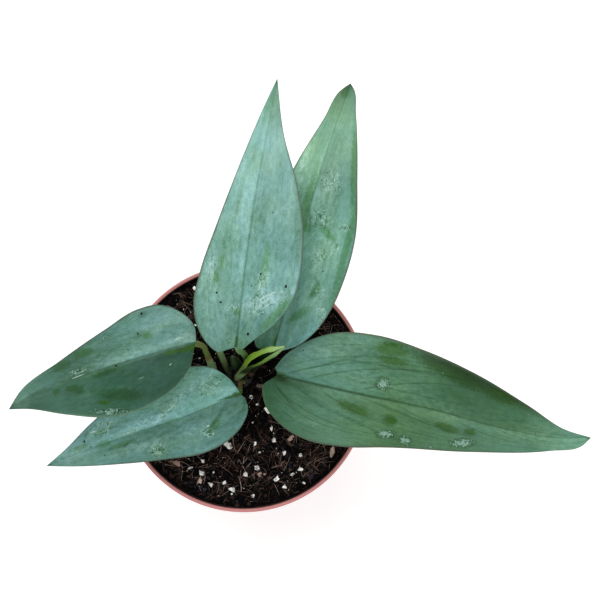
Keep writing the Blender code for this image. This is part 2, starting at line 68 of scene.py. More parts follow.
# Pot
POT_HEIGHT = 100.0
RIM_RADIUS = 60.0
LIP_WIDTH = 1.6         # thickness of the collar's wall
WALL = 1.2
COLLAR_HEIGHT = 11.0
COLLAR_STEP = 1.4       # how far the collar stands out from the wall below
STEP_DROP = 1.5         # the height over which it does so
BASE_RADIUS = 43.0
BASE_EDGE = 2.0         # bevel between the floor and the wall
POT_FLOOR = 1.8
DRAIN_HOLES = 8
DRAIN_RADIUS = 4.0
DRAIN_CIRCLE = 31.0     # how far the holes lie from the middle
POT_SIDES = 288
INNER_DARK_DROP = 0.25        # the dust and painted shade inside end this far below the rim, fading over the next height
INNER_DARK_FADE = 0.9
LIP_BOTTOM = 98.6       # from here up the rim is paler, a painted sheen
LIP_FADE = 0.8
POT_RING = 4.0          # the longest step from one ring of the wall to the next
# Roundings of the pot's profile: number of the corner, and radius
POT_CORNERS = {3: 0.5, 4: 0.5, 8: 0.6, 9: 0.6, 10: 0.4, 11: 0.35, 12: 0.8, 13: 0.8}

# Stems
STEM_STEP = 0.7         # length from one ring of points to the next
STEM_UNEVEN = 0.05      # as a share of the radius

# Soil
SOIL_LEVEL = 97.0       # height of its surface, before its relief
SOIL_GAP = 0.3          # between the soil and the pot's wall
SOIL_CRUMBS = 0.9       # how high the crumbs in its surface stand
SOIL_RELIEF = 1.3
SOIL_LUMPS = ((1.0, 9.0, 3.0), (0.5, 4.0, 8.0))     # share, width and layer of the noise
SOIL_EDGE_DIP = 0.1
SOIL_EDGE_POWER = 6
SOIL_RINGS = 120
SOIL_SIDES = 400
LEAF_SHADE_CENTRE = (6.0, 16.0)   # painted shade under the leaves: the soil is dark from here as far as the reach that follows
LEAF_SHADE_REACH = 26.0
LEAF_SHADE_FADE = 14.0
LEAF_SHADE_TONE = 0.25
CRUMBS = 2600
CRUMB_REACH = 57.3      # this and the reaches below: how far from the pot's middle they lie
CRUMB_TONES = ((5, 4, 6), (12, 10, 10), (3, 3, 4), (30, 22, 20), (48, 34, 30), (26, 25, 31), (2, 2, 3))
SPECK_TONE = (26, 30, 26)
FIBRES = 2600
FIBRE_START = 57.0
FIBRE_REACH = 57.5
FIBRE_TONES = ((98, 76, 67), (132, 108, 96), (66, 49, 45), (164, 140, 126), (106, 76, 66), (60, 46, 44))
PALE_FIBRES = 110
PALE_FIBRE_TONES = ((204, 184, 172), (172, 150, 140))
DULL = 0.07             # specular level of dry and matt things

# Blades
BLADE_THICKNESS = 0.5
EDGE_THICKNESS = 0.3
RIB_DEPTH = 1.2
RIB_WIDTH = 1.2
MIDRIB_FOLD = 0.10      # rise for each millimetre away from the midrib
MARGIN_DROOP = 0.0085   # fall with the square of that distance
WAVE_HEIGHT = 0.9
WAVE_REACH = 20.0       # distance from the midrib where the waves have their full height
WAVE_LENGTH = 46.0
WAVE_SHIFT = 0.8        # how much the waves of the halves differ, in radians
ROW_LEAN = 0.45         # how far a row of points leans towards the tip
ROWS = 230
COLUMNS = 34
COLUMN_CURVE = 1.2      # columns lie closer together near the midrib
EDGE_COLUMN = 0.975     # one more column close to the margin, as a share of the half width
FAN_WIDTH = 2.5         # how gently the rows leave the junction
FAN_CREEP = 1.5
GROOVE_DEPTH = 0.28
GROOVE_WIDTH = 0.5
VEIN_REACH = 0.32       # how far forward a side vein arcs, as a share of the length
VEIN_SPACING = 0.075
VEIN_DEPTH = 0.07
VEIN_WIDTH = 0.1        # as a share of the spacing
PLEAT_HEIGHT = 0.22     # of the folds between the side veins
CRUST_HEIGHT = 0.08     # how far the wrinkled places stand up
EDGE_START = 0.955      # where the margin's colour starts, as a share of the half width


def srgb(red, green, blue):
    """A colour given as 0 to 255 values, in the linear values that a shader takes."""
    return tuple(c / 255 / 12.92 if c <= 10 else ((c / 255 + 0.055) / 1.055) ** 2.4
                 for c in (red, green, blue))


@dataclass
class Leaf:
    """One blade: its plan, its heights, and its colours and marks."""

    root: tuple             # x and y of its junction with the petiole
    heading: float          # the way it points, in degrees from +X
    length: float
    heights: tuple          # of the junction, of the point that pulls the arch up and of the tip
    midrib: tuple           # places that the midrib runs through
    left: tuple             # places on the left margin, from the notch towards the tip
    right: tuple
    phase: float            # where the waves of its margin start, in radians
    tones_left: tuple       # (share of the length, red, green, blue) down the left half; also painted light and shade: the halves differ with the way light falls, and darken near the junction
    tones_right: tuple
    veins: float            # how much the side veins show
    mottle: float           # how frosted the surface is
    worn: tuple = ()        # green patches: along, across, half length, half width, turn in degrees
    green: tuple = ()       # fresh bright green patches
    crust: tuple = ()       # wrinkled places with pale curls, and painted shade beside them
    scabs: tuple = ()       # solid pale scabs with a dark rim
    sheen: tuple = ()       # soft pale places
    cracks_and_fold_shade: tuple = ()     # dark folds, cracks and blots: painted shade in the folds and at the junction, and the dark colour of cracks and blots
    glints: tuple = ()      # thin bright places
    specks: tuple = ()      # dark crumbs: along, across, radius
    dark_margin: tuple = ()                 # where the left margin is dark, as shares of the length
    edge_left: tuple = (72, 84, 66)         # colour of each margin; a dark one paints shade along the edge
    edge_right: tuple = (72, 84, 66)
    worn_tint: tuple = (0.6, 0.74, 0.46)    # what a worn place makes of the tone


LEAVES = (
    Leaf(
        root=(-0.8, 22.0), heading=81.3, length=119.0, heights=(156, 190, 158),
        midrib=((30, 0.7), (60, 1.0), (95, 0.3)),
        left=((-1.5, 3), (-3.5, 8), (-1, 12.5), (6, 18), (16, 21), (30, 20), (50, 15.8), (80, 9.3),
              (104, 3.8)),
        right=((-1, -2.5), (4, -7), (13, -15.5), (24, -21.5), (36, -23), (52, -21.8), (72, -16.2),
               (94, -6.8)),
        phase=0.0, veins=0.3, mottle=1.0,
        tones_left=((0, 90, 132, 117), (0.25, 110, 155, 142), (0.5, 119, 163, 151), (0.75, 130, 175, 163),
                    (1, 95, 141, 118)),
        tones_right=((0, 75, 118, 96), (0.2, 108, 155, 149), (0.5, 111, 153, 140), (0.75, 121, 164, 155),
                     (1, 102, 139, 113)),
        worn=((28.9, 12.7, 2.4, 1.4, 10), (35.6, 11, 3.2, 0.8, 0), (17, -15.2, 10, 1.9, -35),
              (15.5, 1.8, 2.2, 1.6, 0), (37, -7.4, 10, 1.4, 0)),
        green=((1.5, 0.3, 4, 0.7, 0),),
        crust=((21, -9.5, 10, 4.5, -61), (29, -7.3, 7, 2.4, -3), (33, 14.8, 6, 1.6, 0), (17, 4, 2, 2, 0)),
        scabs=((2.1, 3.6, 0.8, 0.7, 0),),
        sheen=((21, -9, 11, 3.4, -61), (28.5, -7.6, 6, 1.6, -3), (31, 15.2, 6, 1.6, 0)),
        cracks_and_fold_shade=((118.4, 0, 1.8, 0.8, 0),),
        glints=((22, -10, 4.6, 0.45, -48), (20.2, -10.8, 3, 0.3, -48), (23.8, -9.4, 3.4, 0.35, -52),
                (25.6, -12.4, 2.4, 0.3, -48), (18.6, -7.4, 2, 0.35, -40), (28.6, -6.6, 3.4, 0.35, -8)),
        specks=((22.3, 11.5, 0.45), (18.5, 9.3, 0.5), (27.4, -3, 0.35), (33, -6.1, 0.5), (29.4, -17.6, 0.8),
                (6.5, -4.3, 0.7), (59.7, -7.4, 0.35), (16.2, -9.4, 0.3), (15, -12.5, 0.3)),
    ),
    Leaf(
        root=(15.4, 21.5), heading=73.8, length=122.8, heights=(142, 170, 146),
        midrib=((30, 0.6), (62, 1.9), (98, 1.2)),
        left=((-2, 2.5), (-2.5, 7), (5, 11), (16, 15), (34, 17.5), (54, 17.4), (80, 13.1), (104, 6.8),
              (118, 3.5)),
        right=((-1, -3.5), (3, -9.5), (11, -15.5), (22, -19.6), (38, -21.7), (56, -21.2), (82, -14.7),
               (110, -6.1), (120.5, -2.3)),
        phase=1.4, veins=0.35, mottle=0.8, worn_tint=(0.5, 0.68, 0.42),
        tones_left=((0, 74, 117, 97), (0.3, 98, 141, 124), (0.55, 98, 142, 120), (0.7, 132, 179, 154),
                    (0.88, 104, 146, 115), (1, 80, 107, 89)),
        tones_right=((0, 87, 132, 127), (0.2, 100, 146, 131), (0.4, 108, 156, 138), (0.65, 93, 136, 119),
                     (0.85, 117, 161, 134), (1, 80, 118, 92)),
        # the worn patch at 64 along and 3.6 across is painted shade, a dark band beside the midrib
        worn=((55, -8.5, 4.5, 1.6, 60), (54.8, 0.1, 2.6, 1.6, 0), (29.7, -10.9, 3.4, 1.8, -10),
              (17, -6.5, 5.5, 1.7, -38), (52, -18.5, 26, 1.6, 2), (84, -12.4, 20, 1.3, 14),
              (64, 3.6, 14, 1.7, 0), (118, 1, 3, 2, 0)),
        green=((1.5, 0.2, 4, 0.7, 0),),
        sheen=((74, -3, 10, 4, 0), (46, -9, 8, 3, 0), (18.6, -17, 7, 1.4, 30), (79, 10, 14, 1.5, 0)),
        cracks_and_fold_shade=((123, -0.5, 2.4, 3.0, 0), (59.2, -15.1, 3.2, 0.5, -80), (59.6, -17, 1.2, 0.8, 0),
                 (61, -4, 3.5, 0.4, 60), (33.5, -10.5, 1.6, 0.6, 30), (28.3, -10.2, 2.4, 0.9, -15),
                 (57.5, -6.5, 2.2, 0.8, 70), (59, 0.3, 2.0, 0.7, 20)),
        crust=((77.5, -4.2, 5, 4.5, 20), (60.2, -4.6, 4, 4.5, 30), (18.6, -17, 8, 2.2, 30),
               (59.2, -15.1, 1.6, 3, 10), (45, -8.3, 3, 3, 0), (40.5, -8.7, 2, 2, 0),
               (48.9, -14, 3.4, 2.0, 0), (28, -13, 4, 2.5, 0)),
        specks=((38.5, -11.5, 0.4), (76.7, 0.1, 0.3)),
    ),
    Leaf(
        root=(17.1, 8.6), heading=-11.9, length=151.0, heights=(138, 168, 112),
        midrib=((35, -0.2), (70, -0.2), (104, -2.5), (130, -2.8)),
        left=((-2, 3), (1, 9), (9, 17.2), (22, 24.4), (40, 27), (62, 24.8), (88, 18.9), (115, 9.6),
              (135, 2)),
        right=((-2, -2), (-5.5, -5.5), (-3.5, -13.5), (5, -21.2), (19, -26), (34, -25.2), (52, -21.5),
               (90, -16), (130, -9.2), (147.5, -4)),
        phase=2.6, veins=0.95, mottle=0.6, worn_tint=(0.46, 0.57, 0.22),
        tones_left=((0, 85, 126, 113), (0.15, 78, 122, 102), (0.35, 67, 109, 80), (0.55, 49, 86, 58),
                    (0.75, 56, 96, 66), (1, 95, 146, 120)),
        tones_right=((0, 43, 83, 55), (0.15, 79, 119, 95), (0.35, 73, 111, 74), (0.6, 74, 113, 87),
                     (0.8, 75, 119, 92), (1, 108, 159, 130)),
        worn=((47.6, 21.9, 8, 2.6, 0), (49, 17.3, 7, 2.0, -2), (36, -7, 7.5, 2.2, -8),
              (52.9, -8.6, 3, 2.4, 0), (78.8, -7.1, 6, 1.8, -8), (89.6, -6.9, 3, 1.6, 0),
              (100, 11.6, 10, 3.0, -12), (78, 17.0, 20, 3.4, -14), (1, -0.6, 3.4, 2.2, 0)),
        green=((101, 12.6, 5, 1.0, -14), (48, 24.6, 5, 0.9, 4), (54, -9, 1.6, 1.2, 0)),
        scabs=((46.6, 6.4, 2.8, 2.6, 0), (52.1, -15.2, 3.8, 1.6, 10), (61.5, -16.3, 2.9, 1.9, -10),
               (87, -12.4, 5.2, 1.9, 12), (73, -17, 1.2, 0.6, 0), (135.9, 1.6, 0.5, 0.5, 0),
               (129.5, -2, 0.4, 0.4, 0), (66, 19, 0.4, 0.4, 0), (72, 16.5, 0.4, 0.4, 0)),
        sheen=((45, 6, 18, 4.5, -2), (24, 18, 14, 4, 20), (70, 2.5, 26, 3.4, -6), (118, -2, 18, 5, -4)),
        cracks_and_fold_shade=((150.6, -1, 1.0, 2.0, 0), (26, -0.3, 24, 0.5, 0), (5, -8.8, 6, 0.45, -36),
                 (15, -5.8, 9, 0.35, -24), (36, -12.2, 16, 0.4, -12), (21, 10, 12, 0.35, 26),
                 (50, 14.4, 20, 0.35, 2), (48, 5, 22, 0.3, -1), (60, -5.2, 22, 0.3, -10),
                 (2, -1, 4, 1.6, -10)),
        specks=((9.0, 13.5, 0.3), (121, -2.2, 0.3)),
        dark_margin=(0.33, 0.86),
    ),
    Leaf(
        root=(-19.5, 23.7), heading=-160.2, length=95.5, heights=(148, 164, 118),
        midrib=((16, -1.4), (50, -3.1), (78, -3.3)),
        left=((1, 1), (5, 8.5), (13, 14.7), (25, 18.7), (35, 19.9), (48, 18.1), (66, 11.3), (84, 3.1)),
        right=((-1, -1.8), (-2, -6.5), (2, -15.5), (10, -21.5), (19, -22.5), (36, -18.9), (60, -12.9),
               (86, -5.9)),
        phase=0.7, veins=0.4, mottle=0.8, worn_tint=(0.5, 0.66, 0.34),
        tones_left=((0, 30, 66, 47), (0.25, 43, 79, 64), (0.5, 50, 91, 69), (0.7, 59, 98, 80),
                    (0.85, 49, 88, 69), (1, 69, 107, 87)),
        tones_right=((0, 104, 144, 134), (0.3, 83, 126, 114), (0.55, 59, 95, 76), (0.75, 71, 112, 95),
                     (0.9, 77, 120, 104), (1, 61, 100, 83)),
        worn=((39, 10.5, 10, 2.6, -20), (67.5, -0.4, 2, 1.4, 0), (59.3, 0.5, 3, 1.4, 0),
              (56.4, 2.4, 2.2, 1.6, 0), (60.2, -10.3, 5, 2.0, 0), (48.7, -12.3, 5, 1.8, 0),
              (41.9, -1.0, 6, 1.2, 0), (18.7, -10.1, 2.2, 1.4, 0)),
        green=((2.5, 1.6, 4.2, 1.5, -8), (8, 0.9, 7, 0.9, -8), (47, 11.6, 3, 1.0, -20)),
        crust=((45, 16.4, 9, 1.4, -19), (54, -5.6, 5, 1.2, 0)),
        scabs=((37.1, -16, 1.4, 0.35, 60), (46, 15.9, 7, 0.5, -17), (52, -5, 4, 0.3, 10)),
        sheen=((3.6, -4.4, 3.2, 1.5, -10), (7, -4.2, 3.2, 1.2, 0), (64, -3.6, 12, 0.35, 0),
               (36, -5, 14, 3, -6), (86, -1, 6, 3, 0)),
        cracks_and_fold_shade=((22, -11.4, 1.6, 0.8, 0), (17.8, -19.5, 2.2, 0.9, 30), (95.5, 0, 3, 2, 0)),
        glints=((54.4, -3.5, 3.4, 0.22, 0), (28.3, 6.8, 2.4, 0.25, 0), (13.3, 5.5, 0.5, 0.3, 0),
                (7, -4.2, 1.6, 0.3, 0)),
        edge_left=(96, 128, 104),
        edge_right=(58, 74, 62),
        specks=((17.8, -20.1, 0.55), (22.2, -12.3, 0.5), (36.3, -2.1, 0.5), (28.8, -7, 0.3),
                (49, 14.8, 0.4)),
    ),
    Leaf(
        root=(-0.6, -0.9), heading=-158.8, length=102.0, heights=(126, 140, 98),
        midrib=((30, 0.2), (55, -0.9), (80, -0.9)),
        left=((-1.5, 2.5), (-1.2, 7), (4, 13.6), (13, 18), (24, 19.2), (42, 15.9), (66, 10), (88, 4.2)),
        right=((0, -2.2), (2, -8.5), (8, -16.4), (20, -21), (34, -21.6), (50, -18.8), (70, -12.4),
               (88, -4.8)),
        phase=3.3, veins=0.35, mottle=1.0,
        tones_left=((0, 72, 113, 99), (0.2, 86, 127, 118), (0.5, 85, 128, 116), (0.8, 90, 134, 124),
                    (1, 73, 116, 101)),
        tones_right=((0, 99, 149, 140), (0.2, 106, 155, 143), (0.5, 115, 164, 158), (0.8, 91, 135, 129),
                     (1, 78, 125, 109)),
        worn=((67.8, -6.8, 3.4, 1.5, 0), (68.2, -0.9, 3.6, 1.8, 0), (44.1, 10.4, 1.8, 1.6, 0),
              (16.4, 9.6, 4.5, 1.6, 35), (60, 2, 8, 1.0, 0), (80, -3, 5, 1.2, 0)),
        green=((1.4, -0.4, 2.6, 1.1, -5), (4.5, -0.5, 5, 0.5, -5)),
        crust=((12, -9, 6, 4.5, 0), (31, -7, 12, 1.9, 25), (44.1, 10.4, 4.4, 3.2, 0), (66, -8, 7, 3.4, 0),
               (20, 11, 3, 2, -20), (50, -3, 8, 1.6, 10), (22, -17, 7, 1.5, 0)),
        scabs=((72.2, -9.3, 1.8, 0.35, 30), (45, 11.6, 3.2, 1.3, -10)),
        sheen=((12, -12.5, 6, 1.4, 20), (23, -9.6, 9, 1.3, 20), (36, -4.4, 7, 1.2, 25),
               (8, -5.5, 5, 1.2, -30), (88, -1, 10, 4, 0), (50, 6, 14, 2, -5)),
        cracks_and_fold_shade=((102, 0, 2, 1.4, 0), (14, 6.5, 6, 0.8, 35), (75, -8, 1.6, 0.6, 40), (58, 3, 2.0, 0.5, 20)),
        glints=((71.1, -8, 2.4, 0.35, -6), (18.8, 8.2, 0.6, 0.5, 0), (31.4, -6, 3.4, 0.3, 22),
                (55, -1.9, 0.7, 0.3, 0)),
        specks=((77.1, -5.1, 0.6), (75, -1.7, 0.4), (69.7, 4.1, 0.3), (63.3, -2.3, 0.35)),
    ),
)

# Skin of the blades
UNDERSIDE = (128, 160, 112)
UNDER_RIB = (150, 178, 122)
SKIN_CONTRAST = (1.7, 1.0, 0.9, 0.4, 0.7)   # of its frost, blotches, clouds, streaks and bands; the bands are painted light and shade along the pleats
TIP_CALM = 0.5                      # how much calmer the skin is near the tip
BLOOM = (1.35, 1.0, 1.3)            # how red, green and blue follow the mottling: pale places are greyer
BLUER = (0.97, 0.99, 1.035)         # its colour drifts between these tints
GREENER = (1.02, 1.005, 0.94)
FRESH_GREEN = srgb(37, 78, 12)
DARK_MARGIN = (0.45, 0.47, 0.36)

# Centre lines of the petioles, from the foot to just short of the blade: x, y, height and radius
PETIOLES = {
    1: ((0.6, 7.0, 95, 1.6), (1.4, 9.2, 102, 1.6), (1.8, 12.9, 108, 1.5), (1.6, 15.7, 116, 1.5),
        (0.9, 18.3, 130, 1.4), (-0.4, 20.6, 146, 1.4)),
    2: ((1.5, 5.5, 95, 1.6), (3.8, 8.2, 102.5, 1.6), (7.2, 12.1, 112, 1.5), (12.2, 16.6, 127, 1.4),
        (14.6, 19.6, 137, 1.4)),
    3: ((24, -2, 79.5, 1.6), (24, -2, 93, 1.6), (24, -2, 101, 1.6), (23.2, -0.3, 110, 1.6),
        (20.2, 4.4, 123, 1.6), (17.5, 7.8, 132, 1.45)),
    4: ((-13, -2, 79.5, 2), (-13, -2, 93, 2), (-13, -1.6, 100.5, 2), (-13.7, 3.6, 106, 2),
        (-14.1, 9.9, 113.5, 2), (-15.1, 15, 124, 1.5), (-15.8, 18.9, 134, 1.3), (-17.2, 22.2, 142, 1.3)),
    5: ((0.2, 3.4, 95, 1.2), (-0.3, 3.3, 102.5, 1.2), (-1.3, 3.0, 108, 1.1), (-1.1, 1.1, 115, 1.1),
        (-0.8, -0.5, 120.5, 1.1)),
}
OLD_STALK = ((-5.2, 6.8, 95, 1.7), (-7.1, 8.2, 102.5, 1.6), (-8.6, 12.6, 111, 1.5), (-9.9, 17.6, 122, 1.5),
             (-10.8, 21.5, 132, 1.5))
SIDE_BUD = ((-2.8, 9.6, 95, 2.4), (-3.2, 11, 102.5, 2.7), (-4, 13.2, 108, 2.4), (-4.8, 15.8, 113.5, 0.8))

KNEE_SWELL = 1.2        # how much thicker a petiole is where it meets its blade
RIB_END_RADIUS = 0.7    # of its end, where it runs out under the midrib
SEAT = (1.0, 8.0)       # places along the midrib under which these two lie
SEAT_DEPTH = 0.75       # how far the top of a petiole's end lies below the blade's face
CROWN = (-2.0, 6.0)
CROWN_RADIUS = 6.5
CROWN_TOP = 101.0
CROWN_SHOULDER = 98.5
CROWN_RADII = (3.4, 6.2)        # of the crown at its top and at its shoulder
CROWN_FOOT = 80.0
CROWN_CRUMBS = 90

# Shoot: a boat-shaped sheath with a long slit in the side that faces up
SHOOT_LINE = ((-3, 5, CROWN_TOP + 0.3), (-2.4, 5.9, 105), (1.6, 10.5, 113), (4.7, 14.1, 126),
              (9.6, 17, 143), (14.2, 19.5, 153), (17, 20.6, 158.5), (19, 21.6, 161), (20.6, 22.4, 163))
SHOOT_RADII = (1.7, 1.9, 2.5, 3.1, 3.15, 3.0, 2.5, 0.5)
SHOOT_SLITS = (8, 8, 10, 42, 74, 82, 66, 34)    # how wide the slit is, in degrees, along the shoot
SHOOT_TURNS = (0, 0, 20, 20, 13, 7, 0, 0)       # how far the slit's middle lies to the lower side
SHOOT_WALL = 0.9                                # its thickness
SHOOT_SHADE = (0.05, 0.12, 0.08)                # how much darker the shoot is inside
SHOOT_OPENING = (-0.87, -0.5, 0.0)              # the way the slit faces in plan
SHOOT_RINGS = 120
SHOOT_ARC = 44          # points round each face of its section
SHOOT_LIPS = 5          # and round each lip
# the shoot's tones: painted light on its upper side, painted shade on its lower side
SHOOT_LIT_TONES = ((0, 104, 92, 66), (0.08, 116, 142, 96), (0.25, 110, 142, 72), (0.38, 116, 152, 46),
                (0.6, 132, 170, 46), (0.8, 128, 164, 54), (1, 140, 172, 118))
SHOOT_SHADED_TONES = ((0, 50, 56, 34), (0.2, 24, 44, 16), (0.4, 38, 60, 14), (0.55, 80, 112, 32),
              (0.75, 94, 132, 50), (1, 124, 156, 100))

# White grains (x, y, radius) and bark chips (x, y, turn in degrees, length) that lie on the soil
GRAINS = (
    (-19.6, -35.3, 1.5), (-25.8, -38.9, 1.5), (-20.9, -41.3, 2.1), (-16.2, -46.6, 1.5), (-9.5, -45.6, 1.6),
    (-5.4, -49, 1.9), (0.8, -41.8, 1.4), (6.2, -38.7, 1.3), (15.5, -44.2, 1.5), (20, -48, 1.7),
    (4.2, -52, 1.3), (23.2, -42.1, 1.3), (27.3, -32.6, 1.4), (27.3, -39.6, 1.3), (5.3, -26.7, 1.3),
    (14.5, -25.1, 1.2), (-7.6, -27.6, 2.2), (19.6, -31.6, 1.2), (29, -46, 1.2), (11.3, -10.7, 1.5),
    (13.5, -19.3, 1.4), (-24, 48, 1.5),
)
RING_GRAIN = (3.5, -4.5)        # one grain looks like a ring, from several small ones
RING_RADIUS = 0.75
RING_GRAINS = 9
SMALL_GRAINS = 50
GRAIN_REACH = 53.0
GRAIN_DUST = 220
DUST_REACH = 56.0
GRAIN_TONES = ((254, 252, 250), (248, 244, 240), (238, 230, 226), (255, 255, 255))
CHIPS = ((42.8, -31, 75, 6), (-21.9, -45.6, 60, 5), (-33.3, -36.2, -30, 6), (22.6, -24.5, 40, 5),
         (8.2, -42.1, 10, 5), (7.5, 1.1, 5, 4.5))
CHIP_TONES = ((186, 158, 148), (158, 130, 120), (172, 148, 136), (196, 176, 164))
SPLINTERS = 110
SPLINTER_REACH = 54.0
SPLINTER_TONES = ((58, 42, 38), (80, 60, 54), (38, 31, 31), (40, 41, 50))


class Nodes:
    """Short calls that add nodes to one material and give back their output."""

    def __init__(self, name, roughness=0.5):
        self.material = bpy.data.materials.new(name)
        self.material.use_nodes = True
        self.tree = self.material.node_tree
        self.shader = self.tree.nodes["Principled BSDF"]
        self.shader.inputs["Roughness"].default_value = roughness

    def add(self, kind, inputs, **settings):
        node = self.tree.nodes.new("ShaderNode" + kind)
        for key, value in settings.items():
            setattr(node, key, value)
        for key, value in inputs.items():
            self.feed(node.inputs[key], value)
        return node

    def feed(self, socket, value):
        if isinstance(value, bpy.types.NodeSocket):
            self.tree.links.new(value, socket)
        else:
            socket.default_value = value

    def attribute(self, name, output="Fac"):
        return self.add("Attribute", {}, attribute_name=name).outputs[output]

    def place(self):
        """Object coordinates in millimetres."""
        return self.scaled(self.add("TexCoord", {}).outputs["Object"], 1 / MM)

    def stretch(self, vector, scale):
        return self.vector("MULTIPLY", vector, scale)

    def noise(self, vector, scale, detail=2.0, roughness=0.5):
        inputs = {"Vector": vector, "Scale": scale, "Detail": detail, "Roughness": roughness}
        return self.add("TexNoise", inputs).outputs["Fac"]

    def cells(self, vector, scale, feature="F1"):
        node = self.add("TexVoronoi", {"Vector": vector, "Scale": scale}, feature=feature)
        return node.outputs["Distance"]

    def math(self, operation, a, b=0.0, c=0.0):
        return self.add("Math", {0: a, 1: b, 2: c}, operation=operation).outputs[0]

    def times(self, a, b):
        return self.math("MULTIPLY", a, b)

    def plus(self, a, b):
        return self.math("ADD", a, b)

    def less(self, a, b):
        return self.math("SUBTRACT", a, b)

    def vector(self, operation, a, b, c=(0, 0, 0)):
        return self.add("VectorMath", {0: a, 1: b, 2: c}, operation=operation).outputs[0]

    def step(self, value, low, high, start=0.0, end=1.0):
        """A soft step from start, where value is low, to end, where it is high."""
        inputs = {"Value": value, "From Min": low, "From Max": high, "To Min": start, "To Max": end}
        return self.add("MapRange", inputs, interpolation_type="SMOOTHSTEP").outputs[0]

    def scaled(self, colour, factor):
        return self.add("VectorMath", {0: colour, "Scale": factor}, operation="SCALE").outputs[0]

    def tinted(self, colour, tint):
        return self.vector("MULTIPLY", colour, tint)

    def mix(self, factor, a, b):
        node = self.add("Mix", {0: factor}, data_type="RGBA")
        for socket, value in ((node.inputs[6], a), (node.inputs[7], b)):
            self.feed(socket, (*value, 1.0) if isinstance(value, tuple) and len(value) == 3 else value)
        return node.outputs[2]

    def toned(self, colour, strength, tint):
        """The colour, mixed by a strength with itself times a tint."""
        return self.mix(strength, colour, self.tinted(colour, tint))

    def finish(self, colour, roughness=None, height=None, depth=0.1):
        """Wire up the shader; height is a relief of a depth in millimetres."""
        self.feed(self.shader.inputs["Base Color"], colour)
        if roughness is not None:
            self.feed(self.shader.inputs["Roughness"], roughness)
        if height is not None:
            bump = self.add("Bump", {"Strength": 1.0, "Distance": depth * MM, "Height": height})
            self.feed(self.shader.inputs["Normal"], bump.outputs[0])
        return self.material


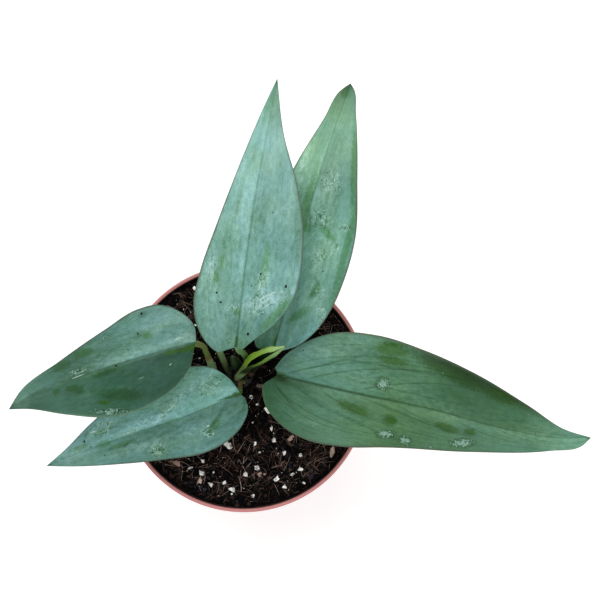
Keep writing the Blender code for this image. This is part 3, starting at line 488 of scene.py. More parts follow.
class Skin(Nodes):
    """The nodes of a leaf's silvery skin, with the patterns that several of its marks share."""

    def __init__(self, name):
        super().__init__(name, 0.45)
        self.shader.inputs["Specular IOR Level"].default_value = 0.18
        self.plan = self.attribute("plan", "Vector")
        self.vein = self.attribute("vein", "Vector")
        self.frost = self.noise(self.plan, 2.6, 3.0, 0.85)
        self.blotches = self.noise(self.stretch(self.plan, (0.55, 1.0, 1.0)), 0.6, 3.0, 0.65)
        self.clouds = self.noise(self.stretch(self.plan, (0.5, 1.0, 1.0)), 0.12, 3.0, 0.55)
        self.ragged = self.less(self.noise(self.plan, 0.9, 5.0, 0.75), 0.5)

    def web(self):
        """Lines of a wide net, where the clouds are pale."""
        wander = self.scaled((1, 1, 1), self.noise(self.plan, 0.7, 2.0, 0.6))
        apart = self.cells(self.vector("ADD", self.plan, wander), 0.3, "DISTANCE_TO_EDGE")
        return self.times(self.step(apart, 0.11, 0.01), self.step(self.clouds, 0.42, 0.62))

    def mottled(self):
        """The tone of each place, frosted, speckled and netted, with painted light and shade in bands along
        the pleats, and a colour that drifts a little.
        """
        streaks = self.noise(self.stretch(self.vein, (1.3, 9.0, 5.0)), 1.0, 4.0, 0.7)
        pleat_shading = self.noise(self.stretch(self.vein, (0.12, 3.2, 5.0)), 1.0, 2.0, 0.5)
        shade = 0.0
        for layer, contrast in zip((self.frost, self.blotches, self.clouds, streaks, pleat_shading), SKIN_CONTRAST):
            shade = self.math("MULTIPLY_ADD", self.less(layer, 0.5), contrast, shade)
        mottle = self.attribute("mottle")
        shade = self.times(shade, self.math("MULTIPLY_ADD", mottle, 0.7, 0.3))
        speckle = self.step(self.cells(self.plan, 1.5), 0.3, 0.1)
        shade = self.plus(shade, self.times(speckle, self.times(mottle, 0.3)))
        shade = self.plus(shade, self.times(self.web(), self.times(mottle, 0.16)))
        bloom = self.vector("MULTIPLY_ADD", shade, BLOOM, (1, 1, 1))
        colour = self.tinted(self.attribute("tone", "Color"), bloom)
        drift = self.step(self.noise(self.stretch(self.plan, (0.35, 1.0, 1.0)), 0.15, 2.0, 0.5), 0.36, 0.64)
        return self.tinted(colour, self.mix(drift, BLUER, GREENER))

    def worn(self, colour):
        """Places where the bloom is rubbed off and the green shows."""
        worn = self.step(self.plus(self.attribute("worn"), self.times(self.ragged, 1.4)), 0.24, 0.76)
        return self.toned(colour, self.times(worn, 0.9), self.attribute("worn_tint", "Vector"))

    def vein_lines(self):
        """Side veins, each as strong as its number happens to make it."""
        turns, share, side = self.add("SeparateXYZ", {0: self.vein}).outputs
        whole = self.add("CombineXYZ", {0: self.math("ROUND", turns), 1: side}).outputs[0]
        strength = self.step(self.add("TexWhiteNoise", {"Vector": whole}).outputs["Value"], 0.2, 1.0)
        line = self.step(self.math("PINGPONG", turns, 0.5), 0.16, 0.0)
        fade = self.times(self.step(share, 0.02, 0.16), self.step(share, 0.97, 0.7))
        return self.times(self.times(line, fade), self.times(strength, self.attribute("veins")))

    def ribbed(self, colour):
        """The midrib, which fades a little towards the tip."""
        fade = self.step(self.attribute("tipward"), 0.95, 0.3, 0.5, 1.0)
        strength = self.times(self.math("MULTIPLY_ADD", self.attribute("veins"), 0.55, 0.4), fade)
        return self.toned(colour, self.times(self.attribute("rib"), strength), (0.34, 0.48, 0.32))

    def marked(self, colour):
        """Fresh green places, dark creases that are partly painted shade, and soft pale places."""
        green = self.step(self.plus(self.attribute("green"), self.ragged), 0.15, 0.85)
        fresh = self.scaled(FRESH_GREEN, self.step(self.blotches, 0.3, 0.7, 0.7, 1.25))
        colour = self.mix(self.times(green, 0.9), colour, fresh)
        # the creases: painted shade in folds and at the junction, and darker cracks
        colour = self.toned(colour, self.times(self.attribute("crack_and_fold_shade"), 0.8), (0.3, 0.42, 0.28))
        sheen = self.times(self.attribute("sheen"), self.step(self.blotches, 0.35, 0.6, 0.35, 1.0))
        return self.toned(colour, self.times(sheen, 0.8), (1.75, 1.42, 1.52))

    def crusted(self, colour):
        """Wrinkled places with painted shade beside the pale curls; gives back the colour and where the
        curls are.
        """
        wrinkle = self.noise(self.stretch(self.plan, (0.75, 1.0, 1.0)), 0.42, 1.5, 0.6)
        crust = self.step(self.plus(self.attribute("crust"), self.times(self.ragged, 1.5)), 0.35, 0.65)
        ridge = self.step(self.math("ABSOLUTE", self.less(wrinkle, 0.5)), 0.034, 0.006)
        curl_shadow = self.times(self.step(wrinkle, 0.535, 0.56), self.step(wrinkle, 0.62, 0.58))
        lighter = self.times(crust, self.step(self.ragged, -0.1, 0.12, 0.0, 0.4))
        colour = self.toned(colour, lighter, (1.7, 1.4, 1.5))
        # painted shade in the hollows beside the curls
        colour = self.toned(colour, self.times(self.times(crust, curl_shadow), 0.8), (0.36, 0.52, 0.34))
        return colour, self.times(crust, ridge)

    def scabbed(self, colour):
        """The dark rims of the scabs; gives back the colour and where the scabs are."""
        place = self.attribute("scab")
        scaly = self.plus(place, self.times(self.ragged, 3.4))
        chipped = self.less(self.noise(self.plan, 1.3, 3.0, 0.8), 0.5)
        scab = self.times(self.step(scaly, 0.6, 0.72), self.step(place, 0.12, 0.4))
        scab = self.times(scab, self.step(chipped, -0.16, -0.04, 0.35, 1.0))
        rim = self.times(self.step(scaly, 0.28, 0.4), self.step(place, 0.16, 0.4))
        return self.toned(colour, self.times(rim, 0.85), (0.36, 0.52, 0.24)), scab

    def glinting(self, colour):
        """Thin bright places and small dark dots."""
        place = self.attribute("glint")
        glint = self.step(self.plus(place, self.times(self.ragged, 0.8)), 0.3, 0.7)
        glint = self.times(glint, self.step(place, 0.05, 0.3))
        colour = self.mix(self.times(glint, 0.6), colour, srgb(184, 214, 202))
        dots = self.step(self.cells(self.plan, 0.2), 0.06, 0.03)
        return self.toned(colour, self.times(dots, 0.5), (0.3, 0.4, 0.3))

    def bordered(self, colour):
        """The margins, and the paler face below."""
        colour = self.toned(colour, self.attribute("dark"), DARK_MARGIN)
        edge = self.times(self.attribute("edge"), 0.9)
        # the margin's edge colour; a dark one is painted shade along the edge
        colour = self.mix(edge, colour, self.attribute("edge_tone", "Vector"))
        below = self.mix(self.attribute("rib"), srgb(*UNDERSIDE), srgb(*UNDER_RIB))
        below = self.scaled(below, self.step(self.clouds, 0.2, 0.8, 0.86, 1.1))
        return self.mix(self.attribute("under"), colour, below)


def leaf_material(name):
    """Silvery leaf skin: mottled, worn to green in places, with faint side veins and pale scabs."""
    n = Skin(name)
    colour = n.worn(n.mottled())
    line = n.vein_lines()
    colour = n.toned(colour, n.times(line, 0.8), (0.42, 0.54, 0.38))
    colour, curls = n.crusted(n.marked(n.ribbed(colour)))
    colour, scab = n.scabbed(colour)
    pale = n.math("MAXIMUM", n.times(curls, 0.85), scab)
    bright = n.mix(scab, srgb(168, 208, 194), srgb(142, 182, 164))
    bright = n.scaled(bright, n.step(n.frost, 0.3, 0.7, 0.6, 1.25))
    colour = n.mix(n.times(pale, 0.75), colour, bright)
    colour = n.bordered(n.glinting(colour))
    roughness = n.plus(n.step(n.frost, 0.2, 0.8, 0.38, 0.54), n.times(pale, 0.3))
    relief = n.plus(n.times(n.frost, 0.4), n.times(pale, 0.8))
    return n.finish(colour, roughness, n.less(relief, n.times(line, 0.7)), 0.14)


def stem_material(name):
    """Smooth stem skin with fine lengthwise fibres, pale dots and a little bloom."""
    n = Nodes(name, 0.42)
    n.shader.inputs["Specular IOR Level"].default_value = 0.25
    run = n.attribute("run", "Vector")
    fibres = n.noise(n.stretch(run, (0.25, 6.0, 1.0)), 1.0, 3.0, 0.6)
    blotches = n.noise(run, 0.6, 3.0, 0.6)
    dots = n.step(n.cells(run, 1.6), 0.22, 0.1)
    light = n.plus(n.step(fibres, 0.25, 0.75, 0.88, 1.1), n.step(blotches, 0.25, 0.75, -0.12, 0.12))
    colour = n.scaled(n.attribute("tone", "Color"), n.plus(light, n.times(dots, 0.22)))
    scar = n.attribute("scar")
    colour = n.mix(n.times(scar, n.step(blotches, 0.3, 0.6, 0.5, 1.0)), colour, srgb(96, 74, 48))
    roughness = n.step(blotches, 0.2, 0.8, 0.34, 0.52)
    return n.finish(colour, roughness, n.plus(fibres, n.times(scar, blotches)), 0.06)


def loose_material(name, grain, contrast, roughness, depth):
    """Crumbs, chips and fibres: each with its own tone, broken up by a grain of a size in millimetres."""
    n = Nodes(name, roughness)
    n.shader.inputs["Specular IOR Level"].default_value = DULL
    where = n.place()
    fine = n.noise(where, 1.0 / grain, 4.0, 0.7)
    colour = n.scaled(n.attribute("tone", "Color"), n.step(fine, 0.25, 0.75, 1 - contrast, 1 + contrast))
    return n.finish(colour, None, fine, depth)


def perlite_material():
    """White foamed grains, pitted and stained by the soil."""
    n = Nodes("perlite", 0.85)
    where = n.place()
    pits = n.cells(where, 1.7)
    stain = n.step(n.noise(where, 0.6, 4.0, 0.75), 0.5, 0.6)
    colour = n.scaled(n.attribute("tone", "Color"), n.step(pits, 0.0, 0.45, 0.6, 1.1))
    colour = n.mix(n.times(stain, 0.85), colour, srgb(84, 62, 50))
    return n.finish(colour, None, pits, 0.3)


def soil_material():
    """Peat: near black, with brown crumbs and fibres, small painted glints, and painted shade under the
    leaves.
    """
    n = Nodes("peat", 0.8)
    n.shader.inputs["Specular IOR Level"].default_value = DULL
    where = n.place()
    crumbs = n.noise(where, 0.9, 5.0, 0.75)
    fibres = n.noise(n.stretch(where, (0.25, 1.4, 1.0)), 1.0, 4.0, 0.7)
    colour = n.mix(n.step(crumbs, 0.42, 0.8), srgb(2, 2, 3), srgb(25, 21, 22))
    colour = n.mix(n.step(fibres, 0.62, 0.78), colour, srgb(58, 34, 26))
    # painted glints: small pale specks that stand for wet highlights
    colour = n.mix(n.step(n.cells(where, 0.7), 0.12, 0.05), colour, srgb(128, 118, 108))
    # painted shade under the leaves
    colour = n.scaled(colour, n.attribute("light"))
    return n.finish(colour, n.step(crumbs, 0.3, 0.7, 0.5, 0.95), crumbs, 0.8)


def pot_material():
    """Terracotta-coloured plastic: satin, faintly mottled and scuffed, with a rim made paler by a painted
    sheen, and soil dust and painted shade inside the rim.
    """
    n = Nodes("pot_plastic", 0.5)
    n.shader.inputs["Specular IOR Level"].default_value = 0.35
    where = n.place()
    clouds = n.noise(where, 0.06, 4.0, 0.6)
    grain = n.noise(where, 2.2, 3.0, 0.6)
    scuffs = n.step(n.noise(n.stretch(where, (0.15, 0.15, 3.0)), 1.0, 4.0, 0.75), 0.66, 0.8)
    scuffs = n.times(scuffs, n.attribute("wall"))
    colour = n.mix(n.step(clouds, 0.3, 0.7), srgb(172, 94, 90), srgb(184, 106, 102))
    colour = n.mix(n.times(scuffs, 0.22), colour, srgb(214, 156, 150))
    outside = n.times(n.attribute("wall"), n.less(1.0, n.attribute("lip")))
    colour = n.toned(colour, outside, (0.8, 0.68, 0.66))
    patchy = n.step(n.noise(where, 0.35, 5.0, 0.75), 0.3, 0.62, 0.85, 1.0)
    # dust and painted shade on the inner wall: dark red below the rim, near black towards the soil
    inner_dust_and_shade = n.times(n.attribute("dust_and_shade"), patchy)
    dust_and_shade_colour = n.mix(n.step(n.attribute("dust_and_shade"), 0.4, 1.0), srgb(84, 22, 20), srgb(9, 7, 7))
    colour = n.mix(inner_dust_and_shade, colour, dust_and_shade_colour)
    dirt = n.step(n.noise(where, 0.28, 5.0, 0.8), 0.68, 0.76)
    colour = n.mix(n.times(dirt, n.attribute("lip")), colour, srgb(70, 36, 30))
    # painted sheen: the top of the rim is paler
    worn = n.times(n.attribute("lip"), 0.4)
    colour = n.mix(worn, colour, srgb(206, 150, 150))
    roughness = n.plus(n.step(clouds, 0.2, 0.8, 0.42, 0.54), n.times(scuffs, 0.2))
    roughness = n.plus(roughness, n.times(inner_dust_and_shade, 0.45))
    return n.finish(colour, roughness, n.plus(grain, scuffs), 0.05)


def mesh_object(name, vertices, faces, finish, attributes=None, round_degrees=None):
    """A piece from points in millimetres, with values for its points, riding on the plant's body."""
    mesh = bpy.data.meshes.new(name)
    mesh.from_pydata(np.asarray(vertices, dtype=float) * MM, [], faces)
    for key, values in (attributes or {}).items():
        add_attribute(mesh, key, np.asarray(values, dtype=np.float32))
    mesh.materials.append(finish)
    mesh.shade_smooth()
    if round_degrees:
        mesh.set_sharp_from_angle(angle=math.radians(round_degrees))
    mesh.validate()
    obj = bpy.data.objects.new(name, mesh)
    bpy.context.scene.collection.objects.link(obj)
    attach(obj, BODY)
    return obj


def add_attribute(mesh, key, values):
    """Store one value, or one vector, or one colour for the key that is named tone, for each point."""
    if values.ndim == 1:
        mesh.attributes.new(key, "FLOAT", "POINT").data.foreach_set("value", values)
    elif key == "tone":
        full = np.concatenate([values, np.ones((len(values), 1), np.float32)], axis=1)
        mesh.attributes.new(key, "FLOAT_COLOR", "POINT").data.foreach_set("color", full.ravel())
    else:
        mesh.attributes.new(key, "FLOAT_VECTOR", "POINT").data.foreach_set("vector", values.ravel())


def xyz(x, y, z):
    """Points from their coordinates, each a grid or a single value."""
    return np.stack(np.broadcast_arrays(x, y, z), axis=-1)


def noise_at(points, size, octaves=1):
    """Smooth noise from -1 to 1 at each point, with features of a size in millimetres."""
    flat = np.asarray(points, dtype=float).reshape(-1, 3) / size
    if octaves == 1:
        values = [noise.noise(Vector(p)) for p in flat]
    else:
        values = [noise.fractal(Vector(p), 0.8, 2.1, octaves) for p in flat]
    return np.array(values).reshape(np.shape(points)[:-1])


def smooth_curve(points, count):
    """Evenly spaced points on a smooth curve through the given ones."""
    points = np.array(points, dtype=float)
    knots = np.concatenate(([0.0], np.cumsum(np.linalg.norm(np.diff(points, axis=0), axis=1))))
    slopes = np.gradient(points, knots, axis=0)
    places = np.linspace(0.0, knots[-1], 40 * len(points))
    span = np.clip(np.searchsorted(knots, places, side="right") - 1, 0, len(points) - 2)
    width = (knots[span + 1] - knots[span])[:, None]
    t = (places - knots[span])[:, None] / width
    fine = ((2 * t**3 - 3 * t**2 + 1) * points[span] + (t**3 - 2 * t**2 + t) * width * slopes[span]
            + (3 * t**2 - 2 * t**3) * points[span + 1] + (t**3 - t**2) * width * slopes[span + 1])
    run = np.concatenate(([0.0], np.cumsum(np.linalg.norm(np.diff(fine, axis=0), axis=1))))
    even = np.linspace(0.0, run[-1], count)
    return np.stack([np.interp(even, run, fine[:, axis]) for axis in range(points.shape[1])], axis=1)


def grid_faces(rows, columns, first=0, closed=False):
    """Quads between rows of points that follow each other; closed joins each row's ends."""
    index = first + np.arange(rows * columns).reshape(rows, columns)
    if closed:
        index = np.concatenate([index, index[:, :1]], axis=1)
    quads = np.stack([index[:-1, :-1], index[:-1, 1:], index[1:, 1:], index[1:, :-1]], axis=-1)
    return quads.reshape(-1, 4).tolist()


def arch(leaf, along):
    """Height of the midrib above the table."""
    share = along / leaf.length
    junction, pull, tip = leaf.heights
    return (1 - share) ** 2 * junction + 2 * share * (1 - share) * pull + share**2 * tip


def midrib_across(leaf, along):
    """Where the midrib lies across a blade, at each place along it."""
    line = smooth_curve([(0, 0), *leaf.midrib, (leaf.length, 0)], 60)
    return np.interp(along, line[:, 0], line[:, 1])


def blade_height(leaf, along, across):
    """Height of the blade's upper face, without its fine relief."""
    aside = np.abs(across - midrib_across(leaf, along))
    turn = 2 * math.pi * along / WAVE_LENGTH + leaf.phase + np.where(across < 0, -WAVE_SHIFT, WAVE_SHIFT)
    wave = WAVE_HEIGHT * (aside / WAVE_REACH) ** 2 * np.sin(turn)
    return arch(leaf, along) + MIDRIB_FOLD * aside - MARGIN_DROOP * aside**2 + wave


def leaf_to_world(leaf, along, across, height):
    """Points of a leaf in the plant's own millimetres."""
    turn = math.radians(leaf.heading)
    x = leaf.root[0] + along * math.cos(turn) - across * math.sin(turn)
    y = leaf.root[1] + along * math.sin(turn) + across * math.cos(turn)
    return xyz(x, y, height)


def blade_grid(leaf):
    """Plan points of a blade in rows across it, from the notch at its base to its tip, left to right.

    Gives back along, across and the signed share of the way from the midrib to the margin.
    """
    margins = [smooth_curve([*points, (leaf.length, 0)], ROWS + 1) for points in (leaf.left, leaf.right)]
    reach = []
    for margin in margins:
        aside = np.abs(margin[:, 1] - midrib_across(leaf, margin[:, 0]))
        rising = np.maximum.accumulate(margin[:, 0] - ROW_LEAN * aside)
        reach.append(FAN_WIDTH * np.log1p(np.exp(rising / FAN_WIDTH)))
    start = np.mean(reach, axis=0) + np.linspace(0.0, FAN_CREEP, ROWS + 1)
    start = (start - start[0]) * leaf.length / (start[-1] - start[0])
    inner = np.stack([start, midrib_across(leaf, start)], axis=1)[:, None]
    shares = np.sort(np.append((np.arange(COLUMNS) / (COLUMNS - 1)) ** COLUMN_CURVE, EDGE_COLUMN))[:, None]
    left, right = (inner + (margin[:, None] - inner) * shares for margin in margins)
    grid = np.concatenate([left[:, ::-1], right[:, 1:]], axis=1)
    signed = np.concatenate([shares[::-1, 0], -shares[1:, 0]])
    return grid[..., 0], grid[..., 1], np.broadcast_to(signed, grid.shape[:2])


def patches(marks, along, across):
    """How far each place lies inside any of the marks, 1 at a mark's middle and 0 well outside."""
    strength = np.zeros_like(along)
    for mark_along, mark_across, half_length, half_width, degrees in marks:
        turn = math.radians(degrees)
        a, c = along - mark_along, across - mark_across
        far = ((a * math.cos(turn) + c * math.sin(turn)) / half_length) ** 2
        wide = ((c * math.cos(turn) - a * math.sin(turn)) / half_width) ** 2
        strength = np.maximum(strength, np.exp(-0.7 * (far + wide)))
    return strength


def leaf_tones(leaf, along, share):
    """Colour of each place: a ramp down each half, blended across the midrib; the ramps hold painted light
    and shade.
    """
    place = np.clip(along / leaf.length, 0, 1)
    left, right = ramp_colours(leaf.tones_left, place), ramp_colours(leaf.tones_right, place)
    blend = np.clip(0.5 + share / 0.12, 0, 1)[..., None]
    return blend * left + (1 - blend) * right


def vein_turns(leaf, along, share):
    """A count that rises by one from each side vein to the next; side veins arc towards the tip."""
    bend = 0.006 * np.sin(9 * along / leaf.length + 3 * share)
    start = along / leaf.length + VEIN_REACH * np.log(1 - np.clip(np.abs(share), 0, 0.975)) + bend
    return start / VEIN_SPACING + np.where(share > 0, 0.0, 0.45)


def blade_surfaces(number, leaf, along, across, share):
    """Heights of a blade's upper and lower face, its count of side veins and how near its midrib is."""
    aside = np.abs(across - midrib_across(leaf, along))
    taper = np.clip(1.05 - along / leaf.length, 0.05, 1)
    turns = vein_turns(leaf, along, share)
    near_line = np.exp(-((np.abs(turns - np.round(turns)) / VEIN_WIDTH) ** 2))
    lines = near_line * np.clip(np.abs(share) / 0.1, 0, 1) * np.clip((0.8 - np.abs(share)) / 0.3, 0, 1)
    rib = np.exp(-((aside / (GROOVE_WIDTH * (0.45 + 0.55 * taper))) ** 2))
    inside = np.clip((1 - np.abs(share)) / 0.1, 0, 1)
    side = np.where(share > 0, 1.0, -1.0)
    pleats = noise_at(xyz(turns, along / 60 + number, 3.0 * side), 1.0)
    bumps = noise_at(xyz(along, across * 1.6, 7.0 * number), 11.0)
    relief = PLEAT_HEIGHT * (pleats + 0.8 * bumps) * inside * np.clip(aside / 4, 0, 1)
    relief = relief - VEIN_DEPTH * lines - GROOVE_DEPTH * rib * (0.3 + 0.7 * taper)
    relief = relief + CRUST_HEIGHT * patches(leaf.crust, along, across) * inside
    top = blade_height(leaf, along, across) + relief
    thick = EDGE_THICKNESS + (BLADE_THICKNESS - EDGE_THICKNESS) * inside
    rib_below = RIB_DEPTH * taper**1.5 * np.exp(-((aside / (RIB_WIDTH * (0.4 + 0.6 * taper))) ** 2))
    return top, top - thick - rib_below - 0.5 * VEIN_DEPTH * lines, turns, rib


def both_faces(values, on_top=1.0, below=1.0):
    """A grid's values in the order of a blade's points: upper face, lower face and the tip's two points."""
    flat = values[:ROWS].reshape(ROWS * values.shape[1], -1)
    tip = values[ROWS, :1].reshape(1, -1)
    joined = np.concatenate([flat * on_top, flat * below, tip * on_top, tip * below])
    return joined[:, 0] if values.ndim == 2 else joined


def dark_margin(leaf, along, share):
    """How dark the left margin is, from 0 to 1."""
    if not leaf.dark_margin:
        return np.zeros_like(along)
    low, high = leaf.dark_margin
    span = along / leaf.length
    near = np.clip((share - 0.74) / 0.24, 0, 1)
    return near * np.clip((span - low) / 0.1, 0, 1) * np.clip((high - span) / 0.1, 0, 1)


def blade_values(number, leaf, along, across, share, turns, rib):
    """What the skin's material reads at each point of a blade."""
    ones = np.ones_like(along)
    side = np.where(share > 0, 1.0, -1.0)
    calm = TIP_CALM * np.clip((along / leaf.length - 0.45) / 0.3, 0, 1)
    values = {
        "plan": xyz(along, across, 40.0 * number),
        "vein": xyz(turns, np.abs(share), side + 3.0 * number),
        "tone": leaf_tones(leaf, along, share),
        "veins": leaf.veins * ones,
        "tipward": along / leaf.length,
        "mottle": leaf.mottle * (1 - calm),
        "rib": rib,
        "worn_tint": np.broadcast_to(leaf.worn_tint, (*along.shape, 3)),
        "edge": np.clip((np.abs(share) - EDGE_START) / 0.03, 0, 1),
        "edge_tone": np.where(share[..., None] > 0, srgb(*leaf.edge_left), srgb(*leaf.edge_right)),
    }
    marks = {"worn": leaf.worn, "green": leaf.green, "crust": leaf.crust, "scab": leaf.scabs,
             "sheen": leaf.sheen, "crack_and_fold_shade": leaf.cracks_and_fold_shade, "glint": leaf.glints}
    for key, places in marks.items():
        values[key] = patches(places, along, across)
    pointwise = {key: both_faces(value) for key, value in values.items()}
    pointwise["dark"] = both_faces(dark_margin(leaf, along, share), 1.0, 0.0)
    pointwise["under"] = both_faces(ones, 0.0, 1.0)
    return pointwise


def blade_faces(columns):
    """Faces of a blade: its two sides, the fans at its tip and the strip round its margin."""
    count = ROWS * columns
    tip_top, tip_bottom = 2 * count, 2 * count + 1
    faces = [quad[::-1] for quad in grid_faces(ROWS, columns)]
    faces += grid_faces(ROWS, columns, count)
    last = (ROWS - 1) * columns
    for column in range(columns - 1):
        faces.append([last + column, tip_top, last + column + 1])
        faces.append([count + last + column, count + last + column + 1, tip_bottom])
    left = [row * columns for row in range(ROWS)]
    right = [row * columns + columns - 1 for row in range(ROWS)]
    base = list(range(columns))
    above = left + [tip_top] + right[::-1] + base[-2:0:-1]
    below = [tip_bottom if i == tip_top else i + count for i in above]
    for a, b, c, d in zip(above, above[1:] + above[:1], below[1:] + below[:1], below):
        faces.append([a, d, c, b])
    return faces


def make_leaf(number, leaf, finish):
    """A blade as a thin closed skin: upper face, lower face and the edge between them."""
    along, across, share = blade_grid(leaf)
    top, bottom, turns, rib = blade_surfaces(number, leaf, along, across, share)
    upper = leaf_to_world(leaf, along, across, top)
    lower = leaf_to_world(leaf, along, across, bottom)
    vertices = np.concatenate([upper[:ROWS].reshape(-1, 3), lower[:ROWS].reshape(-1, 3),
                               upper[ROWS, :1], lower[ROWS, :1]])
    values = blade_values(number, leaf, along, across, share, turns, rib)
    obj = mesh_object(f"leaf_{number}", vertices, blade_faces(along.shape[1]), finish, values)
    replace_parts(obj, f"blade_{number}")


def lump(seed, detail, roughness, grain=0.9):
    """Points and faces of an irregular lump about 1 in radius, with bumps of a size given by its grain."""
    bm = bmesh.new()
    bmesh.ops.create_icosphere(bm, subdivisions=detail, radius=1.0)
    points = np.array([v.co for v in bm.verts])
    faces = np.array([[v.index for v in face.verts] for face in bm.faces])
    bm.free()
    swell = 1 + roughness * noise_at(points + 10.0 * seed, grain, 3)
    return points * swell[:, None], faces


def shard(seed, corners):
    """Points and faces of an angular fragment about 1 in radius."""
    draw = random.Random(seed)
    bm = bmesh.new()
    for _ in range(corners):
        direction = Vector([draw.gauss(0, 1) for _ in range(3)]).normalized()
        bm.verts.new(direction * draw.uniform(0.55, 1.25))
    bmesh.ops.convex_hull(bm, input=bm.verts)
    bmesh.ops.delete(bm, geom=[v for v in bm.verts if not v.link_faces], context="VERTS")
    bm.verts.index_update()
    points = np.array([v.co for v in bm.verts])
    faces = np.array([[v.index for v in face.verts] for face in bm.faces])
    bm.free()
    return points, faces


def scatter(name, shapes, places, finish, darker=lambda x, y: 1.0):
    """Join many copies of a few shapes.

    A place is its centre, its three half sizes, its turn and its tone.
    """
    vertices, faces, tones = [], [], []
    first = 0
    for index, (centre, size, turn, tone) in enumerate(places):
        points, corners = shapes[index % len(shapes)]
        turned = (points * size) @ np.array(Euler(turn).to_matrix()).T + centre
        vertices.append(turned)
        faces.append(corners + first)
        tones.append(np.tile(srgb(*tone), (len(points), 1)) * darker(*centre[:2]))
        first += len(points)
    points, corners, tone = (np.concatenate(parts) for parts in (vertices, faces, tones))
    return mesh_object(name, points, corners.tolist(), finish, {"tone": tone}, 60)


def tube_frames(line):
    """The direction along a line at each of its points, and two directions across it that don't twist."""
    ahead = np.gradient(line, axis=0)
    ahead /= np.linalg.norm(ahead, axis=1)[:, None]
    side = np.cross(ahead[0], (0.3, 0.2, 0.9) if abs(ahead[0][2]) < 0.9 else (0.0, 1.0, 0.1))
    sides = []
    for direction in ahead:
        side = side - direction * np.dot(side, direction)
        side /= np.linalg.norm(side)
        sides.append(side)
    sides = np.array(sides)
    return ahead, sides, np.cross(ahead, sides)


def tube(line, radii, sides):
    """Points and faces of a closed tube round a line, with a radius for each point and each side."""
    _, across, up = tube_frames(line)
    angle = np.linspace(0, 2 * math.pi, sides, endpoint=False)
    radii = np.broadcast_to(np.reshape(radii, (len(line), -1)), (len(line), sides))
    spokes = across[:, None] * np.cos(angle)[:, None] + up[:, None] * np.sin(angle)[:, None]
    points = line[:, None] + spokes * radii[..., None]
    faces = grid_faces(len(line), sides, closed=True)
    vertices = np.concatenate([points.reshape(-1, 3), line[:1], line[-1:]])
    start, end = len(vertices) - 2, len(vertices) - 1
    last = (len(line) - 1) * sides
    for i in range(sides):
        j = (i + 1) % sides
        faces.append([start, j, i])
        faces.append([end, last + i, last + j])
    return vertices, faces


def ramp_colours(ramp, places):
    """Colours at places from 0 to 1 on a ramp of (place, red, green, blue)."""
    stops = [stop[0] for stop in ramp]
    colours = np.array([srgb(*stop[1:]) for stop in ramp])
    return np.stack([np.interp(places, stops, colours[:, i]) for i in range(3)], axis=-1)


def hump(place, middle, width):
    """How near each place along a stem is to the middle of a ring: 1 there, and 0 well away from it."""
    return np.exp(-(((place - middle) / width) ** 2))


def stem(line, ramp, scars=(), swell=(), sides=28, seed=0):
    """One stem's points, faces and values, from a line of x, y, height and radius.

    The ramp's colours run along it, and scars are rings that turn brown.
    """
    line = np.array(line, dtype=float)
    length = np.linalg.norm(np.diff(line[:, :3], axis=0), axis=1).sum()
    count = max(12, int(length / STEM_STEP))
    points = smooth_curve(line, count)
    place = np.linspace(0, 1, count)
    radius = points[:, 3] + sum((rise * hump(place, at, width) for at, width, rise in swell), 0 * place)
    angle = np.linspace(0, 2 * math.pi, sides, endpoint=False)
    around = xyz(np.cos(angle) * 1.5, np.sin(angle) * 1.5 + 9 * seed, place[:, None] * length / 4)
    uneven = 1 + STEM_UNEVEN * noise_at(around, 1.0)
    vertices, faces = tube(points[:, :3], radius[:, None] * uneven, sides)
    tone = np.repeat(ramp_colours(ramp, place), sides, axis=0)
    scar = np.repeat(sum((hump(place, at, width) for at, width in scars), 0 * place), sides)
    skin = radius[:, None]
    run = xyz(place[:, None] * length, skin * np.cos(angle) + 5 * seed, skin * np.sin(angle)).reshape(-1, 3)
    ends = [0, -1]
    return (vertices, faces, np.concatenate([tone, tone[ends]]), np.concatenate([scar, scar[ends]]),
            np.concatenate([run, run[ends]]))


def join_stems(name, stems, finish):
    """One piece from several stems, which may run into each other."""
    vertices, faces, tones, scars, runs = [], [], [], [], []
    first = 0
    for points, corners, tone, scar, run in stems:
        vertices.append(points)
        faces += [[i + first for i in face] for face in corners]
        tones.append(tone)
        scars.append(scar)
        runs.append(run)
        first += len(points)
    attributes = {"tone": np.concatenate(tones), "scar": np.concatenate(scars), "run": np.concatenate(runs)}
    return mesh_object(name, np.concatenate(vertices), faces, finish, attributes)


def seat_point(leaf, along, radius):
    """Centre of a petiole of this radius where it lies under the midrib, sunk into the rib."""
    across = float(midrib_across(leaf, along))
    slope = arch(leaf, along + 0.5) - arch(leaf, along - 0.5)
    drop = (SEAT_DEPTH + radius) / math.hypot(1.0, slope)
    return tuple(leaf_to_world(leaf, along + drop * slope, across, arch(leaf, along) - drop))


def petiole(number, ramp, scars):
    """The stem of a leaf, from its foot to its seat under the blade."""
    leaf = LEAVES[number - 1]
    end_radii = (KNEE_SWELL * PETIOLES[number][-1][3], RIB_END_RADIUS)
    seats = [(*seat_point(leaf, along, radius), radius) for along, radius in zip(SEAT, end_radii)]
    return stem((*PETIOLES[number], *seats), ramp, scars, ((0.04, 0.06, 0.3),), seed=number)


